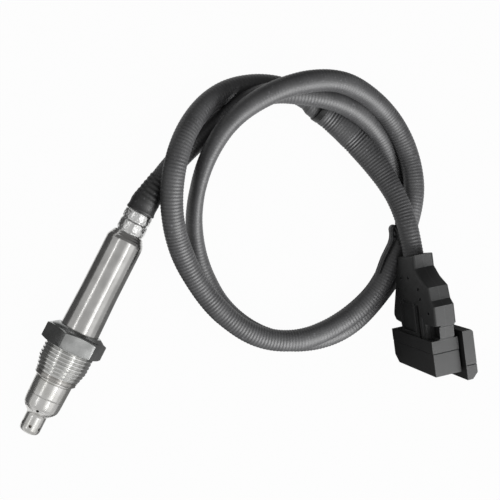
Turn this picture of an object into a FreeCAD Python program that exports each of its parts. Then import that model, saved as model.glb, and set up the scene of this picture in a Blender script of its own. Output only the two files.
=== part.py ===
import FreeCAD, Part
import math
import os
import Sketcher

# Exhaust gas sensor: a threaded probe, its coiled conduit and the plug at the far end.
# The probe lies along X with a flat of its hexagon down, the tip towards +X, and its
# bounding box is centred on the origin. Stations are distances from the cable end of
# the probe; u, v and w are the plug's own axes, with u towards its mating end.

doc = FreeCAD.newDocument("exhaust_gas_sensor")
dim = doc.addObject("Spreadsheet::Sheet", "dim")

SIZES = {
    # Probe, along its axis
    "neck_end": 13.8,
    "shoulder_end": 17.2,
    "taper_end": 39.0,
    "hex_start": 55.7,
    "sleeve_end": 57.5,
    "hex_end": 63.8,
    "relief_end": 65.1,
    "lead_in_start": 70.3,
    "thread_end": 75.0,
    "collar_end": 77.2,
    "cap_shoulder": 88.7,
    "nose_start": 92.0,
    "nose_length": 8.0,
    # Probe, across its axis
    "hex_flats": 22.0,
    "hex_corner_margin": 0.7,
    "thread_radius": 10.0,
    "relief_radius": 9.1,
    "lead_in_radius": 8.7,
    "nut_clearance": 0.07,
    "body_radius": 7.93,
    "collar_radius": 8.4,
    "collar_lip": 0.4,
    "spigot_radius": 7.15,
    "spigot_start": 45.0,
    "body_bore": 5.3,
    "body_front_bore": 3.4,
    "bore_step": 71.0,
    "sleeve_radius": 7.9,
    "sleeve_rear_radius": 7.55,
    "sleeve_wall": 0.7,
    "neck_radius": 5.8,
    "neck_wall": 0.7,
    "neck_groove": 0.55,
    "neck_groove_start": 4.6,
    "neck_groove_end": 6.4,
    "neck_rounding": 0.5,
    # Protection tubes
    "cap_radius": 7.3,
    "cap_wall": 0.5,
    "nose_radius": 4.1,
    "nose_rounding": 1.6,
    "cap_rounding": 2.6,
    "tip_hole_radius": 0.75,
    "tip_hole_station": 97.0,
    "side_hole_radius": 0.65,
    "side_hole_station": 89.2,
    "hole_count": 6,
    "inner_cap_radius": 5.6,
    "inner_nose_radius": 2.9,
    "inner_wall": 0.4,
    "inner_shoulder": 87.0,
    "inner_cone_length": 3.0,
    "inner_nose_length": 8.0,
    # Parts inside the probe
    "element_width": 4.0,
    "element_thickness": 1.3,
    "element_start": 24.0,
    "element_end": 95.0,
    "slot_clearance": 0.15,
    "ceramic_radius": 5.2,
    "lower_ceramic_start": 66.0,
    "talc_start": 59.0,
    "upper_ceramic_start": 47.0,
    "holder_radius": 6.3,
    "holder_start": 22.0,
    "holder_end": 44.0,
    "holder_slot_height": 4.2,
    "spring_width": 0.7,
    "spring_pitch": 1.0,
    "spring_length": 15.0,
    "spring_start": 26.0,
    "wire_count": 8,
    "wire_radius": 0.6,
    "wire_circle": 3.2,
    "wire_start": 1.0,
    "wire_clearance": 0.05,
    "grommet_end": 15.5,
    # Conduit, its boot and its ties
    "conduit_radius": 4.2,
    "boot_radius": 5.05,
    "boot_length": 7.5,
    "boot_clearance": 0.05,
    "tie_width": 2.6,
    "tie_thickness": 0.7,
    "tie_head_width": 4.4,
    "tie_head_height": 3.6,
    "tie_head_depth": 4.6,
    # Plug, where it stands
    "plug_x": -52.27,
    "plug_y": 123.73,
    "plug_z": 43.5,
    "plug_yaw": 36.28,
    "plug_pitch": -2.0,
    # Wire cover, split at its middle
    "cover_low": 0.8,
    "cover_split": 5.7,
    "cover_high": 10.6,
    "cover_wall": 1.6,
    "cover_neck_start": -6.7,
    "cover_neck_step": 1.0,
    "cover_rounding": 1.2,
    "cable_seat": -26.0,
    "cable_axis": -17.5,
    "cable_clearance": 0.1,
    "cable_window": 3.0,
    "screw_hole_radius": 0.6,
    "detail_depth": 1.0,
    "hollow_depth": 2.4,
    # Housing block
    "block_length": 14.8,
    "block_width": 11.9,
    "block_height": 36.2,
    "block_seam": 5.1,
    "seam_chamfer": 0.3,
    "corner_chamfer": 3.2,
    "shroud_wall": 1.2,
    "insert_end": 8.3,
    "insert_low": 2.4,
    "insert_high": 9.5,
    "insert_top": -3.0,
    "insert_bottom": -29.5,
    "seal_length": 1.6,
    "seal_clearance": 0.1,
    "contact_radius": 0.8,
    "contact_bore": 0.85,
    "contact_start": 0.3,
    "contact_end": 7.6,
    "contact_pitch": 6.0,
    "contact_rows": 2.8,
    # Mounting plate
    "plate_start": -2.4,
    "plate_end": 18.2,
    "plate_low": 12.8,
    "plate_high": 17.8,
    "plate_top": 2.5,
    "plate_bottom": -43.4,
    "plate_chamfer": 2.5,
    "rib_start": 2.6,
    "rib_end": 11.4,
    "rib_top": -4.0,
    "rib_bottom": -29.0,
}

PROBE_LENGTH = "(dim.nose_start + dim.nose_length)"

# Side view of the wire cover, u and w
COVER_OUTLINE = [
    (-34.6, -9.2), (-29.2, -9.2), (-25.4, -5.4), (-22.2, 0.3), (-16.8, 1.2), (-14.6, 3.4),
    (-6.3, 3.2), (-5.6, 2.0), (-1.2, 1.8), (0.0, 0.4), (0.0, -26.6), (-4.0, -27.4), (-4.6, -31.9),
    (-6.4, -33.4), (-10.9, -32.9), (-17.9, -29.9), (-26.2, -26.4), (-33.1, -23.2),
]
COVER_HOLLOW = [
    (-25.0, -8.2), (-21.2, -1.7), (-16.2, -0.8), (-13.8, 1.4), (-10.2, 1.4), (-10.2, -30.6),
    (-17.3, -27.9), (-25.0, -24.7),
]
COVER_GROOVES = [(-14.9, -23.0, -12.8, -15.0), (-13.8, -11.4, 1.0, -9.4)]
COVER_HOLES = [(-24.2, -20.6), (-24.7, -15.8), (-20.5, -8.1), (-16.4, -7.5)]

# Centre line of the conduit, from the probe's neck to its seat in the wire cover
ROUTE = [
    (-50.0, 0.0, 11.0), (-64.0, 0.0, 11.0), (-80.0, 5.0, 7.2), (-96.0, 14.0, 7.2),
    (-110.5, 26.0, 11.4), (-119.0, 41.0, 14.8), (-125.9, 59.0, 13.0), (-122.5, 78.0, 7.0),
    (-111.5, 94.8, 5.0), (-96.8, 108.4, 5.6), (-79.0, 116.0, 5.6), (-59.5, 115.0, 4.6),
    (-42.0, 106.0, 4.4), (-30.0, 91.0, 4.4), (-26.0, 72.0, 4.4), (-30.0, 53.0, 4.4),
    (-38.0, 36.5, 4.6), (-49.2, 24.0, 6.3), (-62.5, 17.0, 10.5), (-78.0, 14.5, 15.0),
    (-94.0, 16.0, 18.0), (-108.5, 21.5, 20.8), (-120.5, 32.0, 22.6), (-129.9, 46.0, 20.9),
    (-134.3, 62.5, 14.3), (-132.3, 80.0, 10.0), (-124.3, 95.8, 8.8), (-110.8, 105.8, 12.8),
    (-94.5, 108.6, 14.6), (-78.0, 107.2, 12.6), (-62.0, 102.8, 10.6), (-45.5, 95.0, 10.8),
    (-32.0, 83.0, 13.0), (-25.0, 67.0, 13.2), (-25.5, 49.0, 13.2), (-31.5, 32.0, 13.4),
    (-41.5, 17.5, 15.3), (-54.5, 7.4, 19.2), (-69.5, 1.4, 19.9), (-86.0, 0.5, 15.4),
    (-102.0, 6.0, 9.6), (-114.0, 17.5, 5.4), (-120.5, 33.0, 5.4), (-119.4, 50.0, 5.6),
    (-115.4, 66.5, 7.2), (-109.2, 82.0, 12.4), (-100.0, 95.0, 19.0),
]
LAST_STRAIGHT = 14.0
ARC_SHARE = 0.45

# Each tie: the centres of the two strands it holds, and the run direction between them
TIES = {
    "coil_tie_upper": ((-120.9, 46.0, 14.2), (-119.6, 46.1, 5.6), (0.14, -0.96, 0.01)),
    "coil_tie_right": ((-88.2, 108.1, 13.8), (-89.3, 111.6, 5.6), (0.96, 0.16, -0.06)),
}
TIE_SLACK = 0.6


def fill_sheet():
    for row, (name, number) in enumerate(SIZES.items(), start=1):
        dim.set("A%d" % row, name)
        dim.set("B%d" % row, "%g" % number)
        dim.setAlias("B%d" % row, name)
    doc.recompute()


def size(expression):
    """Number that an expression over the sheet stands for."""
    return float(doc.dim.evalExpression(expression))


def origin_part(body, role):
    return [item for item in body.Origin.OriginFeatures if item.Role == role][0]


def new_body(name, placed):
    body = doc.addObject("PartDesign::Body", name)
    body.Label = name
    placed(body)
    return body


def on_probe_axis(item):
    """Local X runs along the probe from its cable end, at the height of its axis."""
    item.setExpression("Placement.Base.x", "-" + PROBE_LENGTH + " / 2")
    item.setExpression("Placement.Base.z", "dim.hex_flats / 2")


def on_plug(item):
    """Local X, Y and Z are the plug's u, v and w."""
    item.Placement = FreeCAD.Placement(
        FreeCAD.Vector(size("dim.plug_x"), size("dim.plug_y"), size("dim.plug_z")),
        FreeCAD.Rotation(size("dim.plug_yaw"), size("dim.plug_pitch"), 0),
    )
    item.setExpression("Placement.Base.x", "dim.plug_x")
    item.setExpression("Placement.Base.y", "dim.plug_y")
    item.setExpression("Placement.Base.z", "dim.plug_z")


def new_sketch(body, name, plane, lift="0"):
    """Sketch on an origin plane, lifted along the plane's normal."""
    sketch = body.newObject("Sketcher::SketchObject", name)
    sketch.AttachmentSupport = [(origin_part(body, plane), "")]
    sketch.MapMode = "FlatFace"
    sketch.setExpression("AttachmentOffset.Base.z", lift)
    return sketch


def pin_point(sketch, geometry, point, across, up):
    for kind, expression in (("DistanceX", across), ("DistanceY", up)):
        index = sketch.addConstraint(
            Sketcher.Constraint(kind, -1, 1, geometry, point, size(expression))
        )
        sketch.setExpression("Constraints[%d]" % index, expression)


def draw_outline(sketch, corners):
    """Closed outline whose corners are pairs of expressions."""
    points = [FreeCAD.Vector(size(across), size(up), 0) for across, up in corners]
    first = sketch.GeometryCount
    count = len(corners)
    for index in range(count):
        line = Part.LineSegment(points[index], points[(index + 1) % count])
        sketch.addGeometry(line, False)
    for index in range(count):
        following = first + (index + 1) % count
        sketch.addConstraint(Sketcher.Constraint("Coincident", first + index, 2, following, 1))
    for index, (across, up) in enumerate(corners):
        pin_point(sketch, first + index, 1, across, up)


def draw_circle(sketch, across, up, radius):
    centre = FreeCAD.Vector(size(across), size(up), 0)
    index = sketch.addGeometry(Part.Circle(centre, FreeCAD.Vector(0, 0, 1), size(radius)), False)
    pin_point(sketch, index, 3, across, up)
    bound = sketch.addConstraint(Sketcher.Constraint("Radius", index, size(radius)))
    sketch.setExpression("Constraints[%d]" % bound, radius)


def box_corners(low_across, low_up, high_across, high_up):
    return [
        (low_across, low_up), (high_across, low_up), (high_across, high_up), (low_across, high_up),
    ]


def turn(body, name, corners, kind="PartDesign::Revolution"):
    """Turn an outline of stations and radii about the probe's axis."""
    sketch = new_sketch(body, name + "_outline", "XZ_Plane")
    draw_outline(sketch, corners)
    doc.recompute()
    feature = body.newObject(kind, name)
    feature.Profile = sketch
    feature.ReferenceAxis = (sketch, ["H_Axis"])
    feature.Angle = 360
    doc.recompute()
    return feature


def pad(body, name, sketch, depth, reverse=False):
    feature = body.newObject("PartDesign::Pad", name)
    feature.Profile = sketch
    feature.setExpression("Length", depth)
    feature.Reversed = reverse
    doc.recompute()
    return feature


def pocket(body, name, sketch, depth, reverse=False):
    before = body.Shape.Volume
    feature = body.newObject("PartDesign::Pocket", name)
    feature.Profile = sketch
    feature.setExpression("Length", depth)
    feature.Reversed = reverse
    doc.recompute()
    if body.Shape.Volume > before - 1e-4:
        raise RuntimeError(name + " cuts nothing")
    return feature


def ring_edges(shape, station, radius):
    """Names of the circular edges at one station and radius of a turned piece."""
    names = []
    for index, edge in enumerate(shape.Edges, start=1):
        if edge.Curve.TypeId != "Part::GeomCircle":
            continue
        on_axis = abs(edge.Curve.Center.y) < 1e-4
        if on_axis and abs(edge.Curve.Radius - radius) < 1e-3 and abs(edge.Curve.Center.x - station) < 1e-3:
            names.append("Edge%d" % index)
    return names


def dress(body, kind, name, base, edges, bound, expression):
    """Fillet or chamfer on named edges."""
    feature = body.newObject(kind, name)
    feature.Base = (base, edges)
    feature.setExpression(bound, expression)
    doc.recompute()
    return feature


def local_edges(body, shape, test):
    """Names of the edges whose two ends both pass a test in the body's own axes."""
    names = []
    for index, edge in enumerate(shape.Edges, start=1):
        if len(edge.Vertexes) == 2 and all(test(vertex.Point) for vertex in edge.Vertexes):
            names.append("Edge%d" % index)
    return names


# Probe shell

def make_outer_protection_tube():
    body = new_body("outer_protection_tube", on_probe_axis)
    cap = turn(body, "drawn_cap", [
        ("dim.collar_end", "dim.cap_radius - dim.cap_wall"),
        ("dim.collar_end", "dim.cap_radius"),
        ("dim.cap_shoulder", "dim.cap_radius"),
        ("dim.nose_start", "dim.nose_radius"),
        (PROBE_LENGTH, "dim.nose_radius"),
        (PROBE_LENGTH, "0"),
        (PROBE_LENGTH + " - dim.cap_wall", "0"),
        (PROBE_LENGTH + " - dim.cap_wall", "dim.nose_radius - dim.cap_wall"),
        ("dim.nose_start - 0.2", "dim.nose_radius - dim.cap_wall"),
        ("dim.cap_shoulder - 0.25", "dim.cap_radius - dim.cap_wall"),
    ])
    edges = ring_edges(cap.Shape, size(PROBE_LENGTH), size("dim.nose_radius"))
    cap = dress(body, "PartDesign::Fillet", "nose_round", cap, edges, "Radius", "dim.nose_rounding")
    edges = ring_edges(cap.Shape, size("dim.cap_shoulder"), size("dim.cap_radius"))
    dress(body, "PartDesign::Fillet", "cap_round", cap, edges, "Radius", "dim.cap_rounding")
    for name, station, radius in (
        ("tip_hole", "dim.tip_hole_station", "dim.tip_hole_radius"),
        ("side_hole", "dim.side_hole_station", "dim.side_hole_radius"),
    ):
        sketch = new_sketch(body, name + "_circle", "XY_Plane")
        draw_circle(sketch, station, "0", radius)
        doc.recompute()
        hole = pocket(body, name, sketch, "dim.thread_radius", reverse=True)
        ring = body.newObject("PartDesign::PolarPattern", name + "_ring")
        ring.Originals = [hole]
        ring.Axis = (origin_part(body, "X_Axis"), [""])
        ring.Angle = 360
        ring.setExpression("Occurrences", "dim.hole_count")
        body.Tip = ring
        doc.recompute()


def make_inner_protection_tube():
    body = new_body("inner_protection_tube", on_probe_axis)
    cone_end = "dim.inner_shoulder + dim.inner_cone_length"
    tip = cone_end + " + dim.inner_nose_length"
    turn(body, "drawn_tube", [
        ("dim.collar_end", "dim.inner_cap_radius - dim.inner_wall"),
        ("dim.collar_end", "dim.inner_cap_radius"),
        ("dim.inner_shoulder", "dim.inner_cap_radius"),
        (cone_end, "dim.inner_nose_radius"),
        (tip, "dim.inner_nose_radius"),
        (tip, "dim.inner_wall"),
        (tip + " - dim.inner_wall", "dim.inner_wall"),
        (tip + " - dim.inner_wall", "dim.inner_nose_radius - dim.inner_wall"),
        (cone_end + " - 0.2", "dim.inner_nose_radius - dim.inner_wall"),
        ("dim.inner_shoulder - 0.2", "dim.inner_cap_radius - dim.inner_wall"),
    ])


def make_sensor_body():
    body = new_body("sensor_body", on_probe_axis)
    shell = turn(body, "turned_shell", [
        ("dim.spigot_start", "dim.body_bore"),
        ("dim.spigot_start", "dim.spigot_radius"),
        ("dim.sleeve_end", "dim.spigot_radius"),
        ("dim.sleeve_end", "dim.body_radius"),
        ("dim.thread_end + dim.collar_lip", "dim.body_radius"),
        ("dim.thread_end + dim.collar_lip", "dim.collar_radius"),
        ("dim.collar_end", "dim.collar_radius"),
        ("dim.collar_end", "dim.body_front_bore"),
        ("dim.bore_step", "dim.body_front_bore"),
        ("dim.bore_step", "dim.body_bore"),
    ])
    edges = ring_edges(shell.Shape, size("dim.collar_end"), size("dim.collar_radius"))
    dress(body, "PartDesign::Chamfer", "collar_edge", shell, edges, "Size", "dim.collar_lip")


def make_union_nut():
    """Hollow screw: an external thread and a hexagon, free to turn on the sensor body."""
    body = new_body("union_nut", on_probe_axis)
    bore = "dim.body_radius + dim.nut_clearance"
    turn(body, "turned_screw", [
        ("dim.hex_start", bore),
        ("dim.hex_start", "dim.hex_flats / 2 + dim.hex_corner_margin - 0.5"),
        ("dim.hex_start + 0.9", "dim.hex_flats / 2 + dim.hex_corner_margin + 1.1"),
        ("dim.hex_end - 0.9", "dim.hex_flats / 2 + dim.hex_corner_margin + 1.1"),
        ("dim.hex_end", "dim.hex_flats / 2 + dim.hex_corner_margin - 0.5"),
        ("dim.hex_end", "dim.relief_radius"),
        ("dim.relief_end - 0.6", "dim.relief_radius"),
        ("dim.relief_end", "dim.thread_radius"),
        ("dim.lead_in_start", "dim.thread_radius"),
        ("dim.thread_end", "dim.lead_in_radius"),
        ("dim.thread_end", bore),
    ])
    flats = new_sketch(body, "flats_outline", "YZ_Plane", "dim.hex_start - 1")
    apothem = "dim.hex_flats / 2"
    corners = []
    for step in range(6):
        angle = "(%d * 60 + 30)" % step
        corners.append((
            apothem + " / cos(30) * cos(%s - 30)" % angle,
            apothem + " / cos(30) * sin(%s - 30)" % angle,
        ))
    draw_outline(flats, corners)
    draw_circle(flats, "0", "0", "dim.hex_flats")
    doc.recompute()
    pocket(body, "wrench_flats", flats, "dim.hex_end - dim.hex_start + 1", reverse=True)


def make_sleeve_tube():
    body = new_body("sleeve_tube", on_probe_axis)
    tube = turn(body, "drawn_sleeve", [
        ("dim.neck_end", "dim.neck_radius - dim.neck_wall"),
        ("dim.neck_end", "dim.neck_radius + 0.3"),
        ("dim.shoulder_end", "dim.sleeve_rear_radius"),
        ("dim.taper_end", "dim.sleeve_rear_radius"),
        ("dim.hex_start - 0.5", "dim.sleeve_radius"),
        ("dim.sleeve_end", "dim.sleeve_radius"),
        ("dim.sleeve_end", "dim.spigot_radius"),
        ("dim.hex_start - 0.5", "dim.spigot_radius"),
        ("dim.spigot_start - 1", "dim.spigot_radius"),
        ("dim.taper_end", "dim.sleeve_rear_radius - dim.sleeve_wall"),
        ("dim.shoulder_end + 0.4", "dim.sleeve_rear_radius - dim.sleeve_wall"),
        ("dim.grommet_end", "dim.neck_radius - dim.neck_wall"),
    ])
    edges = ring_edges(tube.Shape, size("dim.shoulder_end"), size("dim.sleeve_rear_radius"))
    dress(body, "PartDesign::Fillet", "shoulder_round", tube, edges, "Radius", "1.2")


def make_crimp_ferrule():
    body = new_body("crimp_ferrule", on_probe_axis)
    neck = turn(body, "crimped_neck", [
        ("0", "dim.neck_radius - dim.neck_wall"),
        ("0", "dim.neck_radius"),
        ("dim.neck_groove_start", "dim.neck_radius"),
        ("dim.neck_groove_start + 0.5", "dim.neck_radius - dim.neck_groove"),
        ("dim.neck_groove_end", "dim.neck_radius - dim.neck_groove"),
        ("dim.neck_groove_end + 0.5", "dim.neck_radius"),
        ("dim.neck_end", "dim.neck_radius"),
        ("dim.neck_end", "dim.neck_radius - dim.neck_wall"),
    ])
    edges = ring_edges(neck.Shape, 0.0, size("dim.neck_radius"))
    dress(body, "PartDesign::Fillet", "neck_round", neck, edges, "Radius", "dim.neck_rounding")


# Inside the probe

def cut_element_slot(body):
    """Slot through a ceramic for the flat element, as a pocket along the axis."""
    half_width = "dim.element_width / 2 + dim.slot_clearance"
    half_height = "dim.element_thickness / 2 + dim.slot_clearance"
    slot = new_sketch(body, "slot_outline", "YZ_Plane")
    draw_outline(slot, box_corners("-(%s)" % half_width, "-(%s)" % half_height, half_width, half_height))
    doc.recompute()
    pocket(body, "element_slot", slot, PROBE_LENGTH, reverse=True)


def make_ceramic(name, start, end):
    body = new_body(name, on_probe_axis)
    turn(body, "turned_ring", [
        (start, "0"), (start, "dim.ceramic_radius"), (end, "dim.ceramic_radius"), (end, "0"),
    ])
    cut_element_slot(body)


def make_sensing_element():
    body = new_body("sensing_element", on_probe_axis)
    bar = new_sketch(body, "bar_outline", "YZ_Plane", "dim.element_start")
    draw_outline(bar, box_corners(
        "-dim.element_width / 2", "-dim.element_thickness / 2",
        "dim.element_width / 2", "dim.element_thickness / 2",
    ))
    doc.recompute()
    pad(body, "ceramic_bar", bar, "dim.element_end - dim.element_start")


def make_contact_holder():
    body = new_body("contact_holder", on_probe_axis)
    turn(body, "turned_block", [
        ("dim.holder_start", "0"), ("dim.holder_start", "dim.holder_radius"),
        ("dim.holder_end", "dim.holder_radius"), ("dim.holder_end", "0"),
    ])
    slot = new_sketch(body, "slot_outline", "YZ_Plane", "dim.element_start - 0.3")
    half = "dim.element_width / 2 + dim.slot_clearance"
    draw_outline(slot, box_corners(
        "-(%s)" % half, "-dim.holder_slot_height / 2", half, "dim.holder_slot_height / 2",
    ))
    doc.recompute()
    pocket(body, "contact_slot", slot, PROBE_LENGTH, reverse=True)
    for index in range(int(size("dim.wire_count"))):
        angle = "%d * 360 / dim.wire_count + 22.5" % index
        hole = new_sketch(body, "wire_hole_%d" % index, "YZ_Plane")
        draw_circle(hole, "dim.wire_circle * cos(%s)" % angle, "dim.wire_circle * sin(%s)" % angle,
                    "dim.wire_radius + dim.wire_clearance")
        doc.recompute()
        pocket(body, "wire_bore_%d" % index, hole, "dim.element_start - 0.4", reverse=True)


def make_contact_springs():
    """Four contacts above the element and four below it, pressed onto its faces."""
    strips = []
    for side in (1, -1):
        for index in range(4):
            strip = doc.addObject("Part::Box", "spring_strip_%d_%d" % (side + 1, index))
            across = "(%d - 1.5) * dim.spring_pitch" % index
            thickness = "(dim.holder_slot_height - dim.element_thickness) / 2"
            base = "dim.element_thickness / 2" if side > 0 else "-dim.holder_slot_height / 2"
            strip.setExpression("Length", "dim.spring_length")
            strip.setExpression("Width", "dim.spring_width")
            strip.setExpression("Height", thickness)
            strip.setExpression("Placement.Base.x", "dim.spring_start - " + PROBE_LENGTH + " / 2")
            strip.setExpression("Placement.Base.y", across + " - dim.spring_width / 2")
            strip.setExpression("Placement.Base.z", "dim.hex_flats / 2 + " + base)
            strips.append(strip)
    gather("contact_springs", strips)


def make_lead_wires():
    wires = []
    for index in range(int(size("dim.wire_count"))):
        angle = "%d * 360 / dim.wire_count + 22.5" % index
        wire = doc.addObject("Part::Cylinder", "lead_%d" % index)
        wire.Placement = FreeCAD.Placement(
            FreeCAD.Vector(0, 0, 0), FreeCAD.Rotation(FreeCAD.Vector(0, 1, 0), 90)
        )
        wire.setExpression("Radius", "dim.wire_radius")
        wire.setExpression("Height", "dim.element_start - 0.5 - dim.wire_start")
        wire.setExpression("Placement.Base.x", "dim.wire_start - " + PROBE_LENGTH + " / 2")
        wire.setExpression("Placement.Base.y", "dim.wire_circle * cos(%s)" % angle)
        wire.setExpression("Placement.Base.z", "dim.hex_flats / 2 + dim.wire_circle * sin(%s)" % angle)
        wires.append(wire)
    gather("lead_wires", wires)


def make_cable_grommet():
    body = new_body("cable_grommet", on_probe_axis)
    turn(body, "moulded_plug", [
        ("0", "0"), ("0", "dim.neck_radius - dim.neck_wall"),
        ("dim.grommet_end", "dim.neck_radius - dim.neck_wall"), ("dim.grommet_end", "0"),
    ])
    for index in range(int(size("dim.wire_count"))):
        angle = "%d * 360 / dim.wire_count + 22.5" % index
        hole = new_sketch(body, "wire_hole_%d" % index, "YZ_Plane", "dim.wire_start")
        draw_circle(hole, "dim.wire_circle * cos(%s)" % angle, "dim.wire_circle * sin(%s)" % angle,
                    "dim.wire_radius + dim.wire_clearance")
        doc.recompute()
        pocket(body, "wire_bore_%d" % index, hole, PROBE_LENGTH, reverse=True)


def gather(name, pieces):
    group = doc.addObject("Part::Compound", name)
    group.Label = name
    group.Links = pieces
    doc.recompute()


# Conduit and what sits on it

def plug_point(along, across, up):
    """World place of a point given in the plug's own axes."""
    turned = FreeCAD.Rotation(size("dim.plug_yaw"), size("dim.plug_pitch"), 0)
    corner = FreeCAD.Vector(size("dim.plug_x"), size("dim.plug_y"), size("dim.plug_z"))
    return corner + turned.multVec(FreeCAD.Vector(along, across, up))


def conduit_path():
    """Straight runs joined by tangent arcs, one arc at each inner point."""
    seat = (size("dim.cable_seat"), size("dim.cover_split"), size("dim.cable_axis"))
    points = [FreeCAD.Vector(*point) for point in ROUTE]
    points.append(plug_point(seat[0] - LAST_STRAIGHT, seat[1], seat[2]))
    points.append(plug_point(*seat))
    edges = []
    radii = []
    here = points[0]
    for before, corner, after in zip(points, points[1:], points[2:]):
        inward = (corner - before).normalize()
        outward = (after - corner).normalize()
        half_turn = inward.getAngle(outward) / 2
        reach = ARC_SHARE * min((corner - before).Length, (after - corner).Length)
        radius = reach / math.tan(half_turn)
        start = corner - inward * reach
        end = corner + outward * reach
        toward_centre = (outward - inward).normalize()
        middle = corner + toward_centre * (radius / math.cos(half_turn) - radius)
        edges.append(Part.LineSegment(here, start).toShape())
        edges.append(Part.Arc(start, middle, end).toShape())
        radii.append(round(radius, 1))
        here = end
    edges.append(Part.LineSegment(here, points[-1]).toShape())
    print("arc radii:", radii)
    return Part.Wire(edges)


def make_conduit():
    path = conduit_path()
    radius = size("dim.conduit_radius")
    start = path.Edges[0].valueAt(path.Edges[0].FirstParameter)
    ring = Part.Wire([Part.makeCircle(radius, start, FreeCAD.Vector(-1, 0, 0))])
    conduit = doc.addObject("Part::Feature", "conduit")
    conduit.Label = "conduit"
    conduit.Shape = path.makePipeShell([ring], True, False)
    expected = math.pi * radius ** 2 * path.Length
    print("conduit length %.1f, volume %.0f of %.0f" % (path.Length, conduit.Shape.Volume, expected))


def make_cable_boot():
    body = new_body("cable_boot", on_probe_axis)
    bore = "dim.conduit_radius + dim.boot_clearance"
    turn(body, "shrunk_sleeve", [
        ("-dim.boot_length", bore), ("-dim.boot_length", "dim.boot_radius - 0.3"),
        ("-dim.boot_length + 0.8", "dim.boot_radius"), ("0", "dim.boot_radius"), ("0", bore),
    ])


def make_tie(name):
    """Strap drawn round two strands, with its locking head beside the upper one."""
    upper, lower, run = [FreeCAD.Vector(*item) for item in TIES[name]]
    run.normalize()
    span = upper - lower
    across = span - run * span.dot(run)
    reach = across.Length
    up = across.normalize()
    side = run.cross(up)
    inner = size("dim.conduit_radius") + TIE_SLACK
    outer = inner + size("dim.tie_thickness")
    half = size("dim.tie_width") / 2
    lower = upper - up * reach

    def racetrack(radius):
        low = Part.Arc(lower + side * radius, lower - up * radius, lower - side * radius)
        high = Part.Arc(upper - side * radius, upper + up * radius, upper + side * radius)
        sides = [Part.LineSegment(lower - side * radius, upper - side * radius),
                 Part.LineSegment(upper + side * radius, lower + side * radius)]
        return Part.Wire([low.toShape(), sides[0].toShape(), high.toShape(), sides[1].toShape()])

    strap = Part.Face(racetrack(outer)).cut(Part.Face(racetrack(inner))).extrude(run * 2 * half)
    strap.translate(run * -half)
    head_across = side * (inner + 0.1)
    corner = upper + head_across - run * (size("dim.tie_head_width") / 2) - up * size("dim.tie_head_height")
    head = Part.makePolygon([
        corner,
        corner + run * size("dim.tie_head_width"),
        corner + run * size("dim.tie_head_width") + side * size("dim.tie_head_depth"),
        corner + side * size("dim.tie_head_depth"),
        corner,
    ])
    head = Part.Face(head).extrude(up * size("dim.tie_head_height"))
    tie = doc.addObject("Part::Feature", name)
    tie.Label = name
    tie.Shape = strap.fuse(head).removeSplitter()


# Plug

def outline_expressions(points):
    return [("%g" % along, "%g" % up) for along, up in points]


def make_cover_half(name, low, high, outer_face):
    """One shell of the wire cover; outer_face tells which of its faces is the outer one."""
    body = new_body(name, on_plug)
    side = new_sketch(body, "side_outline", "XZ_Plane", "-" + low)
    draw_outline(side, outline_expressions(COVER_OUTLINE))
    doc.recompute()
    half = pad(body, "moulded_half", side, "%s - %s" % (high, low), reverse=True)
    face = size(outer_face)
    edges = local_edges(
        body, half.Shape, lambda point: abs(point.y - face) < 1e-3 and point.x < -0.1 and point.z > -27
    )
    dress(body, "PartDesign::Fillet", "rim_round", half, edges, "Radius", "dim.cover_rounding")
    hollow = new_sketch(body, "hollow_outline", "XZ_Plane", "-dim.cover_split")
    draw_outline(hollow, outline_expressions(COVER_HOLLOW))
    doc.recompute()
    wall = "abs(%s - dim.cover_split) - dim.cover_wall" % outer_face
    toward_front = outer_face == "dim.cover_low"
    pocket(body, "wire_space", hollow, wall, reverse=toward_front)
    step = new_sketch(body, "neck_outline", "XZ_Plane", "-" + outer_face)
    draw_outline(step, box_corners("dim.cover_neck_start", "-5", "1", "10"))
    doc.recompute()
    depth = "dim.hollow_depth" if toward_front else "dim.cover_neck_step"
    pocket(body, "neck_step", step, depth, reverse=not toward_front)
    for label, radius, start, end in (
        ("cable_bore", "dim.conduit_radius + dim.cable_clearance", "-40", "dim.cable_seat"),
        ("wire_window", "dim.cable_window", "-30", "-20"),
    ):
        bore = new_sketch(body, label + "_circle", "YZ_Plane", start)
        draw_circle(bore, "dim.cover_split", "dim.cable_axis", radius)
        doc.recompute()
        pocket(body, label, bore, "%s - (%s)" % (end, start), reverse=True)
    if toward_front:
        holes = new_sketch(body, "screw_hole_circles", "XZ_Plane", "-dim.cover_low")
        for along, up in COVER_HOLES:
            draw_circle(holes, "%g" % along, "%g" % up, "dim.screw_hole_radius")
        for low_along, low_up, high_along, high_up in COVER_GROOVES:
            draw_outline(holes, box_corners("%g" % low_along, "%g" % low_up, "%g" % high_along, "%g" % high_up))
        doc.recompute()
        pocket(body, "screw_holes", holes, "dim.detail_depth")


def make_plug_housing():
    body = new_body("plug_housing", on_plug)
    block = new_sketch(body, "block_outline", "YZ_Plane")
    draw_outline(block, box_corners("0", "-dim.block_height", "dim.block_width", "0"))
    doc.recompute()
    pad(body, "rear_block", block, "dim.block_seam")
    cut_contact_bores(body, "-1", "dim.block_seam + 2")


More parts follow.
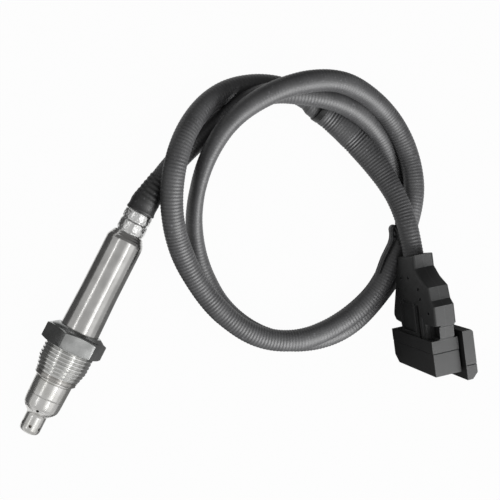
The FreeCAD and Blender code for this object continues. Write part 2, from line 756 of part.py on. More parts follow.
def make_plug_shroud():
    body = new_body("plug_shroud", on_plug)
    block = new_sketch(body, "block_outline", "YZ_Plane", "dim.block_seam")
    draw_outline(block, box_corners("0", "-dim.block_height", "dim.block_width", "0"))
    doc.recompute()
    front = pad(body, "front_block", block, "dim.block_length - dim.block_seam")
    seam = size("dim.block_seam")
    edges = local_edges(body, front.Shape, lambda point: abs(point.x - seam) < 1e-3)
    front = dress(body, "PartDesign::Chamfer", "seam_edge", front, edges, "Size", "dim.seam_chamfer")
    end = size("dim.block_length")
    foot = -size("dim.block_height")
    edges = local_edges(
        body, front.Shape, lambda point: abs(point.x - end) < 1e-3 and abs(point.z - foot) < 1e-3
    )
    dress(body, "PartDesign::Chamfer", "foot_corner", front, edges, "Size", "dim.corner_chamfer")
    mouth = new_sketch(body, "mouth_outline", "YZ_Plane", "dim.block_seam")
    draw_outline(mouth, box_corners(
        "dim.shroud_wall", "-dim.block_height + 1.6 * dim.shroud_wall",
        "dim.block_width - dim.shroud_wall", "-dim.shroud_wall",
    ))
    doc.recompute()
    pocket(body, "plug_mouth", mouth, "dim.block_length", reverse=True)


def cut_contact_bores(body, start, length):
    """Bores for two columns of four contacts."""
    holes = new_sketch(body, "contact_circles", "YZ_Plane", start)
    for column in (-1, 1):
        for row in range(4):
            across = "dim.block_width / 2 + (%d) * dim.contact_rows / 2" % column
            up = "(dim.insert_top + dim.insert_bottom) / 2 + (%g) * dim.contact_pitch" % (row - 1.5)
            draw_circle(holes, across, up, "dim.contact_bore")
    doc.recompute()
    pocket(body, "contact_bores", holes, length, reverse=True)


def make_contact_insert():
    body = new_body("contact_insert", on_plug)
    block = new_sketch(body, "insert_outline", "YZ_Plane", "dim.block_seam")
    draw_outline(block, box_corners(
        "dim.insert_low", "dim.insert_bottom", "dim.insert_high", "dim.insert_top",
    ))
    doc.recompute()
    pad(body, "insert_block", block, "dim.insert_end - dim.block_seam")
    cut_contact_bores(body, "dim.block_seam - 1", "dim.insert_end + 2")


def make_housing_seal():
    body = new_body("housing_seal", on_plug)
    ring = new_sketch(body, "seal_outline", "YZ_Plane", "dim.block_seam")
    draw_outline(ring, box_corners(
        "dim.shroud_wall + dim.seal_clearance", "dim.insert_bottom - 0.8",
        "dim.block_width - dim.shroud_wall - dim.seal_clearance", "dim.insert_top + 0.8",
    ))
    draw_outline(ring, box_corners(
        "dim.insert_low - dim.seal_clearance / 2", "dim.insert_bottom - dim.seal_clearance / 2",
        "dim.insert_high + dim.seal_clearance / 2", "dim.insert_top + dim.seal_clearance / 2",
    ))
    doc.recompute()
    pad(body, "seal_ring", ring, "dim.seal_length")


def make_socket_contacts():
    contacts = []
    turned = FreeCAD.Rotation(size("dim.plug_yaw"), size("dim.plug_pitch"), 0)
    lengthwise = turned.multiply(FreeCAD.Rotation(FreeCAD.Vector(0, 1, 0), 90))
    for column in (-1, 1):
        for row in range(4):
            across = size("dim.block_width") / 2 + column * size("dim.contact_rows") / 2
            middle = (size("dim.insert_top") + size("dim.insert_bottom")) / 2
            up = middle + (row - 1.5) * size("dim.contact_pitch")
            contact = doc.addObject("Part::Cylinder", "contact_%d_%d" % (column + 1, row))
            contact.setExpression("Radius", "dim.contact_radius")
            contact.setExpression("Height", "dim.contact_end - dim.contact_start")
            contact.Placement = FreeCAD.Placement(
                plug_point(size("dim.contact_start"), across, up), lengthwise
            )
            contacts.append(contact)
    gather("socket_contacts", contacts)


def make_mounting_plate():
    body = new_body("mounting_plate", on_plug)
    plate = new_sketch(body, "plate_outline", "XY_Plane", "dim.plate_bottom")
    draw_outline(plate, [
        ("dim.plate_start", "dim.plate_low"),
        ("dim.plate_end", "dim.plate_low"),
        ("dim.plate_end", "dim.plate_high - dim.plate_chamfer"),
        ("dim.plate_end - dim.plate_chamfer", "dim.plate_high"),
        ("dim.plate_start + 1", "dim.plate_high"),
        ("dim.plate_start", "dim.plate_high - 1"),
    ])
    doc.recompute()
    pad(body, "plate", plate, "dim.plate_top - dim.plate_bottom")
    rib = new_sketch(body, "rib_outline", "XY_Plane", "dim.rib_bottom")
    draw_outline(rib, box_corners("dim.rib_start", "dim.block_width", "dim.rib_end", "dim.plate_low + 0.5"))
    doc.recompute()
    pad(body, "rib", rib, "dim.rib_top - dim.rib_bottom")


def check_and_write(names):
    """Stop on a failed object or a bad solid, then write one file for each piece."""
    doc.recompute()
    for item in doc.Objects:
        if "Invalid" in item.State or "Error" in item.State:
            raise RuntimeError("failed: %s" % item.Name)
    os.makedirs("parts", exist_ok=True)
    for name in names:
        shape = doc.getObjectsByLabel(name)[0].Shape
        if shape.isNull() or not shape.isValid():
            raise RuntimeError("bad shape: %s" % name)
        box = shape.BoundBox
        print("%-22s solids %d  volume %8.1f  x %.1f..%.1f  y %.1f..%.1f  z %.2f..%.2f" % (
            name, len(shape.Solids), shape.Volume,
            box.XMin, box.XMax, box.YMin, box.YMax, box.ZMin, box.ZMax))
        shape.exportStep("parts/%s.step" % name)


fill_sheet()
make_outer_protection_tube()
make_inner_protection_tube()
make_sensor_body()
make_union_nut()
make_sleeve_tube()
make_crimp_ferrule()
make_sensing_element()
make_ceramic("lower_insulator", "dim.lower_ceramic_start", "dim.bore_step")
make_ceramic("talc_seal", "dim.talc_start", "dim.lower_ceramic_start")
make_ceramic("upper_insulator", "dim.upper_ceramic_start", "dim.talc_start")
make_contact_holder()
make_contact_springs()
make_lead_wires()
make_cable_grommet()
make_cable_boot()
make_conduit()
make_tie("coil_tie_upper")
make_tie("coil_tie_right")
make_cover_half("wire_cover_front", "dim.cover_low", "dim.cover_split", "dim.cover_low")
make_cover_half("wire_cover_rear", "dim.cover_split", "dim.cover_high", "dim.cover_high")
make_plug_housing()
make_plug_shroud()
make_contact_insert()
make_housing_seal()
make_socket_contacts()
make_mounting_plate()
check_and_write([
    "outer_protection_tube", "inner_protection_tube", "sensor_body", "union_nut", "sleeve_tube",
    "crimp_ferrule", "sensing_element", "lower_insulator", "talc_seal", "upper_insulator",
    "contact_holder", "contact_springs", "lead_wires", "cable_grommet", "cable_boot", "conduit",
    "coil_tie_upper", "coil_tie_right", "wire_cover_front", "wire_cover_rear", "plug_housing",
    "plug_shroud", "contact_insert", "housing_seal", "socket_contacts", "mounting_plate",
])
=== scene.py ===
# %% [markdown]
# This lesson dresses an exhaust gas sensor: a steel probe, a black ribbed conduit wound into a
# loose coil, two cable ties and a moulded plug. The solid model is loaded as a fixed frame, in
# metres, and everything made below is placed in that same frame.

# %% Load the frame
import math

import bpy
from mathutils import Matrix, Vector, noise


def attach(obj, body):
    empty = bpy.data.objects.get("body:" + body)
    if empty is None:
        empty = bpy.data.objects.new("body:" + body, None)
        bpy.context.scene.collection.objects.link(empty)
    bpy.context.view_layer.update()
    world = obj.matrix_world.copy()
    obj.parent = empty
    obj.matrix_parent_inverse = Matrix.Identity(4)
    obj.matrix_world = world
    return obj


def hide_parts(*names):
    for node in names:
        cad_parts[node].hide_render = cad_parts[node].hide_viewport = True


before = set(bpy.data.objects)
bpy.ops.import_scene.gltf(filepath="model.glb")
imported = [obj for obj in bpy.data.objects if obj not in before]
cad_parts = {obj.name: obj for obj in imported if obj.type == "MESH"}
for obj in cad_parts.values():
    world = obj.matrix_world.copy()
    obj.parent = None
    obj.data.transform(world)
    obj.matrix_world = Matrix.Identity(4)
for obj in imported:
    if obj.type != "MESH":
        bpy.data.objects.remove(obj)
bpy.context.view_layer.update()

MM = 0.001
AXIS_HEIGHT = 11 * MM
CABLE_END = -50 * MM

# %% [markdown]
# The sensor was photographed from above with a long lens, the probe at the lower left. A camera
# could be aimed by eye, but here its place and its two directions were fitted to measured
# corners of the probe and the plug, so they are written as plain numbers. The lens gives 903
# pixels of focal length on a picture 500 pixels wide.

# %% The camera
EYE = Vector((-37.72, -68.85, 363.19)) * MM
FORWARD = Vector((-0.041, 0.3144, -0.9484)).normalized()
UPWARD = Vector((-0.8926, -0.438, -0.1066))
RIGHTWARD = FORWARD.cross(UPWARD).normalized()
UPWARD = RIGHTWARD.cross(FORWARD).normalized()

SENSOR_WIDTH = 36
FOCAL_PIXELS, PICTURE_PIXELS = 903, 500
lens = bpy.data.cameras.new("photo_camera")
lens.sensor_width = SENSOR_WIDTH
lens.lens = SENSOR_WIDTH * FOCAL_PIXELS / PICTURE_PIXELS
camera = bpy.data.objects.new("photo_camera", lens)
bpy.context.collection.objects.link(camera)
turn = Matrix((RIGHTWARD, UPWARD, -FORWARD)).transposed().to_4x4()
camera.matrix_world = Matrix.Translation(EYE) @ turn
bpy.context.scene.camera = camera
print("camera at", [round(value, 3) for value in EYE], "with a lens of %.1f mm" % lens.lens)

# %% [markdown]
# The conduit is a free cord, so its line comes before any other piece. Its route is a NURBS
# spline of order 3: a smooth curve that is drawn towards its control points without touching
# them. The order and the end setting are given after the points, because the spline forgets
# them otherwise. The points are those of the solid conduit, moved by a few millimetres
# so that each turn lies where the photograph shows it. The line is then read at equal steps,
# and each place keeps a mark that says between which two control points it lies.

# %% The conduit's route
ROUTE_MM = [
    (-50.0, 0.0, 11.0), (-63.2, 1.5, 11.0), (-79.7, 7.0, 7.2), (-96.6, 13.9, 7.0),
    (-112.8, 22.8, 12.2), (-120.7, 39.9, 14.6), (-126.0, 58.8, 12.4), (-123.2, 78.6, 7.0),
    (-111.5, 94.8, 5.0), (-96.8, 108.4, 5.6), (-79.0, 115.2, 5.6), (-59.8, 112.9, 4.6),
    (-41.4, 106.3, 4.4), (-28.5, 91.8, 4.4), (-22.1, 72.8, 4.4), (-25.2, 51.8, 4.4),
    (-36.3, 35.0, 4.6), (-49.2, 24.0, 6.3), (-62.5, 17.0, 10.5), (-78.1, 13.0, 15.0),
    (-94.4, 13.9, 18.0), (-109.0, 20.8, 20.8), (-121.2, 31.6, 22.6), (-130.1, 45.6, 21.5),
    (-132.6, 61.4, 16.1), (-130.1, 77.8, 12.2), (-121.6, 92.0, 11.8), (-108.6, 101.5, 14.2),
    (-93.1, 105.6, 15.2), (-76.0, 107.3, 13.4), (-59.4, 107.2, 11.5), (-41.8, 98.7, 11.4),
    (-28.0, 85.1, 13.0), (-21.7, 67.8, 13.2), (-24.0, 49.3, 13.2), (-31.4, 32.3, 13.4),
    (-41.8, 18.0, 15.3), (-54.5, 7.4, 19.2), (-69.5, 1.4, 19.9), (-86.0, 0.5, 15.4),
    (-102.0, 6.0, 9.6), (-114.0, 17.5, 5.4), (-120.5, 33.0, 5.4), (-119.4, 50.0, 5.6),
    (-115.9, 66.7, 7.3), (-109.2, 82.0, 12.4), (-100.0, 95.0, 19.0), (-87.4, 105.0, 24.6),
    (-76.1, 113.3, 25.1),
]


def route_line(name, points_mm):
    """Points along the smooth line that a route's control points pull."""
    curve = bpy.data.curves.new(name, "CURVE")
    curve.dimensions = "3D"
    spline = curve.splines.new("NURBS")
    spline.points.add(len(points_mm) - 1)
    for control, place in zip(spline.points, points_mm):
        control.co = (*[value * MM for value in place], 1)
    spline.order_u = 3
    spline.use_endpoint_u = True
    spline.resolution_u = 24
    holder = bpy.data.objects.new(name, curve)
    bpy.context.collection.objects.link(holder)
    evaluated = holder.evaluated_get(bpy.context.evaluated_depsgraph_get())
    mesh = bpy.data.meshes.new_from_object(evaluated)
    line = [vertex.co.copy() for vertex in mesh.vertices]
    bpy.data.objects.remove(holder)
    bpy.data.curves.remove(curve)
    bpy.data.meshes.remove(mesh)
    return line


def even_line(line, step, last_mark):
    """The same line read at equal steps, and a mark that counts along its control points."""
    along = [0.0]
    for before, after in zip(line, line[1:]):
        along.append(along[-1] + (after - before).length)
    count = round(along[-1] / step)
    places, marks = [], []
    index = 0
    for number in range(count + 1):
        wanted = along[-1] * number / count
        while index < len(line) - 2 and along[index + 1] < wanted:
            index += 1
        share = (wanted - along[index]) / (along[index + 1] - along[index])
        share = min(max(share, 0), 1)
        places.append(line[index].lerp(line[index + 1], share))
        marks.append((index + share) / (len(line) - 1) * last_mark)
    return places, marks, along[-1]


RING_STEP = 0.27 * MM
conduit_line, conduit_marks, CONDUIT_LENGTH = even_line(
    route_line("conduit_route", ROUTE_MM), RING_STEP, len(ROUTE_MM) - 1)
print("conduit: %.1f mm, %d rings" % (CONDUIT_LENGTH / MM, len(conduit_line)))

# %% [markdown]
# Real conduit of this kind is a soft corrugated sleeve: fine ribs run round it, and it lies a
# little flattened. A plain bevelled curve would look like a rubber hose, so a mesh tube is laid
# along the line instead. Its rings are wider than they are tall, and their size swells and
# shrinks once for every rib. Each row of the table gives a mark on the route, the sleeve's half
# width and half height there in mm, and how far its ribs stand open: 0 is closed and 1 is open,
# and a little more where it was pulled apart beside the upper tie.

# %% The conduit's section along its route
RIB_PITCH = 1.35 * MM
RIB_DEPTH = 0.22 * MM
SIDES = 24
SECTIONS = [
    (0, 4.4, 4.4, 0.3), (2, 4.5, 4.1, 0.35), (11, 4.5, 4.0, 0.35), (12.5, 4.5, 4.0, 0.8),
    (14, 4.4, 4.0, 0.5), (16, 3.9, 4.5, 0.3), (18, 3.1, 5.0, 0.25), (20, 3.9, 4.4, 0.3),
    (22, 4.5, 4.0, 0.35), (30, 4.5, 4.0, 0.4), (31.5, 4.5, 4.0, 0.8), (34, 4.5, 4.0, 0.5),
    (36.5, 4.6, 4.0, 0.8), (38.5, 4.5, 4.1, 0.4), (42.7, 4.4, 3.9, 0.4), (42.98, 4.2, 3.9, 0.4),
    (43.12, 5.1, 3.9, 0.3), (43.6, 5.5, 3.9, 0.3), (43.68, 5.5, 3.9, 1.3), (43.85, 5.6, 3.9, 1.3),
    (43.95, 5.6, 3.9, 0.3), (44.4, 5.7, 3.9, 0.3), (44.48, 5.7, 3.9, 1.4), (44.65, 5.7, 3.9, 1.4),
    (44.75, 5.6, 3.9, 0.5), (45.5, 5.2, 3.9, 0.65), (46.3, 4.7, 4.0, 0.7), (48, 4.3, 4.3, 0.7),
]


def section_at(mark):
    """Half width, half height and rib opening at a mark, between the rows of the table."""
    for before, after in zip(SECTIONS, SECTIONS[1:]):
        if mark <= after[0]:
            share = (mark - before[0]) / (after[0] - before[0])
            return [a + (b - a) * share for a, b in zip(before[1:], after[1:])]
    return list(SECTIONS[-1][1:])


def ring_frames(line):
    """A level direction across the line and one upright to it, at each of its points."""
    across_then_up = []
    count = len(line)
    for index in range(count):
        run = (line[min(index + 1, count - 1)] - line[max(index - 1, 0)]).normalized()
        across = run.cross(Vector((0, 0, 1))).normalized()
        across_then_up.append((across, across.cross(run).normalized()))
    return across_then_up


def tube_mesh(name, line, half_sizes, sides):
    """A closed tube whose half width and half height are given for each ring."""
    vertices = []
    faces = []
    for place, (across, up), (wide, tall) in zip(line, ring_frames(line), half_sizes):
        for side in range(sides):
            angle = 2 * math.pi * side / sides
            vertices.append(place + across * (wide * math.cos(angle)) + up * (tall * math.sin(angle)))
    for ring in range(len(line) - 1):
        for side in range(sides):
            first = ring * sides + side
            second = ring * sides + (side + 1) % sides
            faces.append((first, second, second + sides, first + sides))
    faces.append(tuple(reversed(range(sides))))
    faces.append(tuple(range((len(line) - 1) * sides, len(line) * sides)))
    mesh = bpy.data.meshes.new(name)
    mesh.from_pydata(vertices, [], faces)
    mesh.update()
    for polygon in mesh.polygons:
        polygon.use_smooth = len(polygon.vertices) == 4
    return mesh


print("sections in the table:", len(SECTIONS))

# %% [markdown]
# Each piece that is made here stands in for a solid or sits on one. It is tied to the body that
# carries it and takes the place of its solid. Pieces of
# the nut ride on the nut, which turns; all the others ride on the sensor.

# %% Tie a piece to the frame


def hand_over(piece, name, body, slot, *solids):
    """Name a piece, let it ride on its body and stand for its solids."""
    piece.name = name
    piece.data.name = name
    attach(piece, body)
    if solids:
        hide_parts(*solids)
    print("%s: %d faces" % (name, len(piece.data.polygons)))


# %% [markdown]
# On the real sleeve no two ribs are quite alike. It was pulled over its wires and bent, so it
# swells and narrows every couple of centimetres, and some ribs stand open more than others. The
# ribs themselves are one cosine wave along the line, and two rows of noise do the rest. Noise
# gives the same values each time, so the conduit comes out the same on each run.

# %% The ribbed conduit
SWELL_EVERY_MM, SWELL_SHARE, SWELL_ROW = 17, 0.05, 2.7
UNEVEN_EVERY_MM, UNEVEN_SHARE, UNEVEN_ROW = 6, 0.6, 8.1
half_sizes = []
for number, mark in enumerate(conduit_marks):
    wide, tall, opened = section_at(mark)
    travelled = CONDUIT_LENGTH * number / (len(conduit_marks) - 1)
    wander = noise.noise(Vector((travelled / MM / SWELL_EVERY_MM, SWELL_ROW, 0)))
    ragged = noise.noise(Vector((travelled / MM / UNEVEN_EVERY_MM, UNEVEN_ROW, 0)))
    valley = 0.5 - 0.5 * math.cos(2 * math.pi * travelled / RIB_PITCH)
    rib = RIB_DEPTH * opened * (1 + UNEVEN_SHARE * ragged) * valley
    swell = 1 + SWELL_SHARE * wander
    half_sizes.append((wide * swell * MM - rib, tall / swell * MM - rib))
conduit_mesh = tube_mesh("ribbed_conduit", conduit_line, half_sizes, SIDES)
conduit = bpy.data.objects.new("ribbed_conduit", conduit_mesh)
bpy.context.collection.objects.link(conduit)
hand_over(conduit, "ribbed_conduit", "sensor", "conduit_plastic", "conduit")

# %% [markdown]
# Where the conduit meets the probe, a black rubber boot is shrunk over both. It covers the first
# millimetres of the crimped neck, ends there in a rolled bead, and shrinks down onto the ribs on
# its other side. It follows the conduit's own line, so its rings are laid on that line too. The
# table gives its radius, in mm, at a distance from the bead.

# %% The shrunk boot
BOOT_OVER_NECK = 4.0
BOOT_ALONG = 11.5
BOOT_SIDES = 48
RIDGE_HEIGHT, RIDGE_PITCH, RIDGES_GROW_OVER = 0.12, 1.9, 4
FOLD_HEIGHT, FOLD_LENGTH, FOLD_ROW = 0.1, 2.3, (0.4, 5.5)
BOOT_RADII = [
    (0.0, 5.35), (0.25, 5.75), (0.7, 5.9), (1.2, 5.7), (2.0, 5.6), (4.0, 5.6), (7.0, 5.35),
    (10.0, 5.05), (13.0, 4.8), (15.5, 4.6),
]


def boot_radius(travelled_mm):
    """Radius of the boot at a distance from its bead, in mm."""
    for before, after in zip(BOOT_RADII, BOOT_RADII[1:]):
        if travelled_mm <= after[0]:
            share = (travelled_mm - before[0]) / (after[0] - before[0])
            return before[1] + (after[1] - before[1]) * share
    return BOOT_RADII[-1][1]


boot_line = []
neck_rings = round(BOOT_OVER_NECK * MM / RING_STEP)
for number in range(neck_rings):
    ahead = BOOT_OVER_NECK * MM * (1 - number / neck_rings)
    boot_line.append(Vector((CABLE_END + ahead, 0, AXIS_HEIGHT)))
boot_line += conduit_line[:round(BOOT_ALONG * MM / RING_STEP)]
boot_sizes = []
for number in range(len(boot_line)):
    travelled = number * RING_STEP / MM
    grown = min(1, max(0, (travelled - BOOT_OVER_NECK) / RIDGES_GROW_OVER))
    ridge = RIDGE_HEIGHT * math.cos(2 * math.pi * travelled / RIDGE_PITCH) * grown
    fold = FOLD_HEIGHT * noise.noise(Vector((travelled / FOLD_LENGTH, *FOLD_ROW)))
    radius = (boot_radius(travelled) + ridge + fold) * MM
    boot_sizes.append((radius, radius))
boot = bpy.data.objects.new("shrunk_boot", tube_mesh("shrunk_boot", boot_line, boot_sizes, BOOT_SIDES))
bpy.context.collection.objects.link(boot)
hand_over(boot, "shrunk_boot", "sensor", "boot_sleeve", "cable_boot")

# %% [markdown]
# The other new pieces are modelled with Blender's own operators, as by hand. A few helpers keep
# that short. One starts from a primitive with nothing else selected, and one adds a modifier and
# applies it. One cuts a piece with a tool that is then thrown away, one joins pieces, and one
# shades smooth all edges that are blunter than an angle.

# %% Hand tools


def start(primitive, **settings):
    """Add one primitive with nothing else selected, and hand it back."""
    bpy.ops.object.select_all(action="DESELECT")
    primitive(location=(0, 0, 0), **settings)
    return bpy.context.object


def pick(piece):
    """Make a piece the only selected one, and the active one."""
    bpy.ops.object.select_all(action="DESELECT")
    piece.select_set(True)
    bpy.context.view_layer.objects.active = piece


def modify(piece, kind, **settings):
    """Give a piece one modifier and apply it."""
    pick(piece)
    modifier = piece.modifiers.new("step", kind)
    for name, value in settings.items():
        setattr(modifier, name, value)
    bpy.ops.object.modifier_apply(modifier=modifier.name)


def carve(piece, tool, operation="DIFFERENCE"):
    """Cut a tool out of a piece, or keep only what both share, and drop the tool."""
    modify(piece, "BOOLEAN", operation=operation, object=tool, solver="EXACT")
    bpy.data.objects.remove(tool)


def merge(piece, *others):
    """Join pieces into the first one."""
    pick(piece)
    for other in others:
        other.select_set(True)
    bpy.ops.object.join()


def smooth(piece, degrees):
    """Shade a piece smooth, but for the edges sharper than an angle."""
    pick(piece)
    bpy.ops.object.shade_smooth_by_angle(angle=math.radians(degrees))


print("hand tools are ready")

# %% [markdown]
# The probe's parts were turned on a lathe. In Blender that is Spin: half of the section is drawn
# as a closed ring of points and swept once round the axis. Afterwards the first and last copy
# lie on each other, so the doubles are merged, and the normals are then turned outwards.

# %% Turn a section round the probe's axis


def turned(profile, steps=96):
    """A body of revolution from (station, radius) pairs in mm, seen from the cable end."""
    piece = start(bpy.ops.mesh.primitive_circle_add, vertices=len(profile))
    for vertex, (station, radius) in zip(piece.data.vertices, profile):
        vertex.co = (CABLE_END + station * MM, 0, AXIS_HEIGHT + radius * MM)
    bpy.ops.object.mode_set(mode="EDIT")
    bpy.ops.mesh.select_all(action="SELECT")
    bpy.ops.mesh.spin(steps=steps, angle=2 * math.pi, center=(0, 0, AXIS_HEIGHT), axis=(1, 0, 0))
    bpy.ops.mesh.select_all(action="SELECT")
    bpy.ops.mesh.remove_doubles(threshold=1e-6)
    bpy.ops.mesh.normals_make_consistent(inside=False)
    bpy.ops.object.mode_set(mode="OBJECT")
    return piece


def polar(place):
    """Station in mm, radius in mm and angle of a point on the probe."""
    across, up = place.y, place.z - AXIS_HEIGHT
    return (place.x - CABLE_END) / MM, math.hypot(across, up) / MM, math.atan2(across, up)


def at_polar(station, radius, angle):
    """The point on the probe with this station, radius and angle."""
    return (
        CABLE_END + station * MM,
        radius * MM * math.sin(angle),
        AXIS_HEIGHT + radius * MM * math.cos(angle),
    )


print("the lathe turns round a line %.0f mm above the floor" % (AXIS_HEIGHT / MM))

# %% [markdown]
# The union nut is a hollow screw: a hexagon with a coned rear face and an external thread that
# runs out towards the collar. The hexagon is a turned disc that keeps only what it shares with
# a six-sided prism. The thread is a turned tube whose crests and valleys are then moved onto a
# helix, one turn of the angle for one pitch of the length, so it is a real screw thread.

# %% The hexagon
NUT_BORE = 8.0
HEX_FLATS = 22.0
HEX_MIDDLE, PRISM_LENGTH = 59.5, 14
hexagon = turned([
    (55.7, NUT_BORE), (55.7, 9.0), (56.9, 10.75), (57.2, 10.9), (57.9, 13.0), (63.2, 13.0),
    (63.8, 11.4), (63.8, NUT_BORE),
], 144)
prism = start(
    bpy.ops.mesh.primitive_cylinder_add, vertices=6, radius=HEX_FLATS / math.sqrt(3) * MM,
    depth=PRISM_LENGTH * MM)
for vertex in prism.data.vertices:
    level, upright, along = vertex.co
    vertex.co = (CABLE_END + HEX_MIDDLE * MM + along, upright, AXIS_HEIGHT + level)
pick(prism)
bpy.ops.object.mode_set(mode="EDIT")
bpy.ops.mesh.select_all(action="SELECT")
bpy.ops.mesh.normals_make_consistent(inside=False)
bpy.ops.object.mode_set(mode="OBJECT")
tops = [vertex.co.z for vertex in prism.data.vertices]
print("across flats, upright: %.2f mm" % ((max(tops) - min(tops)) / MM))
carve(hexagon, prism, "INTERSECT")
modify(
    hexagon, "BEVEL", width=0.22 * MM, segments=2, limit_method="ANGLE",
    angle_limit=math.radians(24))
smooth(hexagon, 26)

# %% [markdown]
# The thread fits a standard exhaust boss, with one turn every 1.5 mm. It was rolled, so its
# flanks are straight and its crests and valleys a little flat. Near the collar it runs out on a
# cone. A picture of lines would do from afar, but real flanks catch the light as they should.

# %% The thread
THREAD_PITCH = 1.5
THREAD_DEPTH = 0.6
THREAD_START, THREAD_END = 63.6, 75.0
THREAD_STEP = 0.125
CREST_RADIUS = 10.0
CONE_START, CONE_SLOPE = 70.3, 0.27
FLANK_SLOPE, CREST_FLAT = 3.4, 0.6
RUN_IN, RUN_OUT = 0.6, 0.5
steps = int((THREAD_END - THREAD_START) / THREAD_STEP) + 1
STATIONS = [THREAD_START + THREAD_STEP * step for step in range(steps)]
outside = [(station, CREST_RADIUS) for station in STATIONS]
thread = turned([(STATIONS[0], NUT_BORE)] + outside + [(STATIONS[-1], NUT_BORE)], 120)
for vertex in thread.data.vertices:
    station, radius, angle = polar(vertex.co)
    if radius < (NUT_BORE + CREST_RADIUS) / 2:
        continue
    crest = CREST_RADIUS - max(0, station - CONE_START) * CONE_SLOPE
    phase = (station / THREAD_PITCH + angle / (2 * math.pi)) % 1
    valley = min(1, max(0, abs(phase - 0.5) * FLANK_SLOPE - CREST_FLAT))
    fade = min(
        1, max(0, (station - THREAD_START) / RUN_IN), max(0, (THREAD_END - station) / RUN_OUT))
    vertex.co = at_polar(station, crest - THREAD_DEPTH * valley * fade, angle)
smooth(thread, 50)
hand_over(hexagon, "union_hexagon", "nut", "nut_steel", "union_nut")
hand_over(thread, "rolled_union_thread", "nut", "nut_steel")

# %% [markdown]
# The neck that grips the cable is a thin bright tube, crimped by a tool with many jaws. It has
# two bright bands with a groove between them, and the jaws left shallow dents all round. Each
# dent could be cut with its own tool, but they are small and lie at random. So the section is
# turned, and noise then presses small dents into the bands.

# %% The crimped neck
CRIMP = [
    (0.2, 4.9), (0.2, 5.2), (4.1, 5.2), (4.3, 5.72), (4.6, 5.8), (5.2, 5.72), (5.8, 5.78), (6.4, 5.7),
    (7.0, 5.78), (7.5, 5.7), (7.8, 5.45), (8.1, 5.36), (8.4, 5.45), (8.7, 5.7), (9.3, 5.78),
    (9.9, 5.7), (10.5, 5.79), (11.1, 5.72), (11.7, 5.8), (12.3, 5.7), (12.7, 5.4), (13.0, 5.3),
    (13.3, 5.5), (13.8, 5.75), (13.8, 5.2), (9.0, 4.9),
]
BANDS_START, BAND_RADIUS = 4.3, 5.45
DENTS_ALONG, DENTS_ROUND = 1.25 / 1.1, 1.25 * 2.6
DENT_SHARE, DENT_DEPTH, DEEPEST_DENT = 0.1, 0.24, 0.14
neck = turned(CRIMP, 144)
for vertex in neck.data.vertices:
    station, radius, angle = polar(vertex.co)
    if station > BANDS_START and radius > BAND_RADIUS:
        place = Vector((
            station * DENTS_ALONG, math.sin(angle) * DENTS_ROUND, math.cos(angle) * DENTS_ROUND))
        dent = max(0, noise.noise(place) + DENT_SHARE) * DENT_DEPTH
        vertex.co = at_polar(station, radius - min(dent, DEEPEST_DENT), angle)
modify(neck, "SUBSURF", levels=1, render_levels=1)
smooth(neck, 60)
hand_over(neck, "crimped_neck", "sensor", "ferrule_steel", "crimp_ferrule")

# %% [markdown]
# The protection tube at the hot end is drawn from thin sheet and welded to the collar. Two fine
# lines run round it, where the inner tube is rolled in, and gas holes open in the rounded
# shoulder and near the tip. Each ring of holes is six cylinders round the axis, cut out of the
# wall. The section is drawn with a point every half millimetre, because long thin faces beside
# a cut hole would show dark blotches. A row of holes gives its station, the radius of a hole,
# its lean from straight outwards, in degrees, and how far from the axis it starts.

# %% The protection tube
CAP = [
    (77.2, 6.8), (77.2, 7.55), (77.55, 7.62), (77.8, 7.5), (77.95, 7.3), (78.2, 7.5), (84.2, 7.34),
    (84.38, 7.2), (84.56, 7.34), (87.0, 7.26), (88.3, 7.12), (88.9, 7.0), (89.3, 6.82),
    (89.45, 6.66), (89.6, 6.66), (90.2, 6.2), (91.0, 5.4), (91.6, 4.75), (92.0, 4.3), (92.5, 4.12),
    (98.4, 4.1), (99.1, 3.93), (99.6, 3.55), (99.9, 3.0), (100.0, 2.5), (100.0, 0.0),
    (99.5, 0.0), (99.5, 2.4), (99.2, 3.2), (98.5, 3.6), (91.8, 3.6), (91.0, 4.4), (89.6, 5.6),
    (88.4, 6.3), (87.0, 6.8),
]
CAP_STEP = 0.5
HOLES = [(89.6, 0.6, 45, 6.2), (96.8, 0.62, 0, 4.1)]
HOLES_ROUND, FIRST_HOLE = 6, 14
dense_cap = []
for before, after in zip(CAP, CAP[1:] + CAP[:1]):
    parts = max(1, math.ceil(math.dist(before, after) / CAP_STEP))
    for part in range(parts):
        dense_cap.append([a + (b - a) * part / parts for a, b in zip(before, after)])
cap = turned(dense_cap, 96)
for station, bore, tilt, radius in HOLES:
    for number in range(HOLES_ROUND):
        drill = start(
            bpy.ops.mesh.primitive_cylinder_add, vertices=20, radius=bore * MM, depth=5 * MM)
        lean = Matrix.Rotation(math.radians(tilt), 4, "Y")
        turn_by = 360 / HOLES_ROUND * number + FIRST_HOLE
        around = Matrix.Rotation(math.radians(turn_by), 4, "X")
        place = Vector((CABLE_END + station * MM, 0, radius * MM))
        drill.data.transform(
            Matrix.Translation((0, 0, AXIS_HEIGHT)) @ around @ Matrix.Translation(place) @ lean)
        carve(cap, drill)
smooth(cap, 40)
hand_over(cap, "drawn_protection_tube", "sensor", "protection_tube", "outer_protection_tube")

# %% [markdown]
# The rear shoulder of the sleeve was rolled in low steps, which show as thin bright rings. The
# whole sleeve could be made anew, but only its shoulder differs from the solid. So a turned
# shell carries the steps and sits on the sleeve's own solid, which stays as it is. Two small
# beads mark where the collar ends.

# %% Rolled rings on the shoulder


def bead(station, radius, size):
    """A thin rounded ring that sits on the probe."""
    section = []
    corners = 10
    for step in range(corners):
        angle = 2 * math.pi * step / corners
        section.append((station + size * math.cos(angle), radius + size * math.sin(angle)))
    return turned(section, 96)


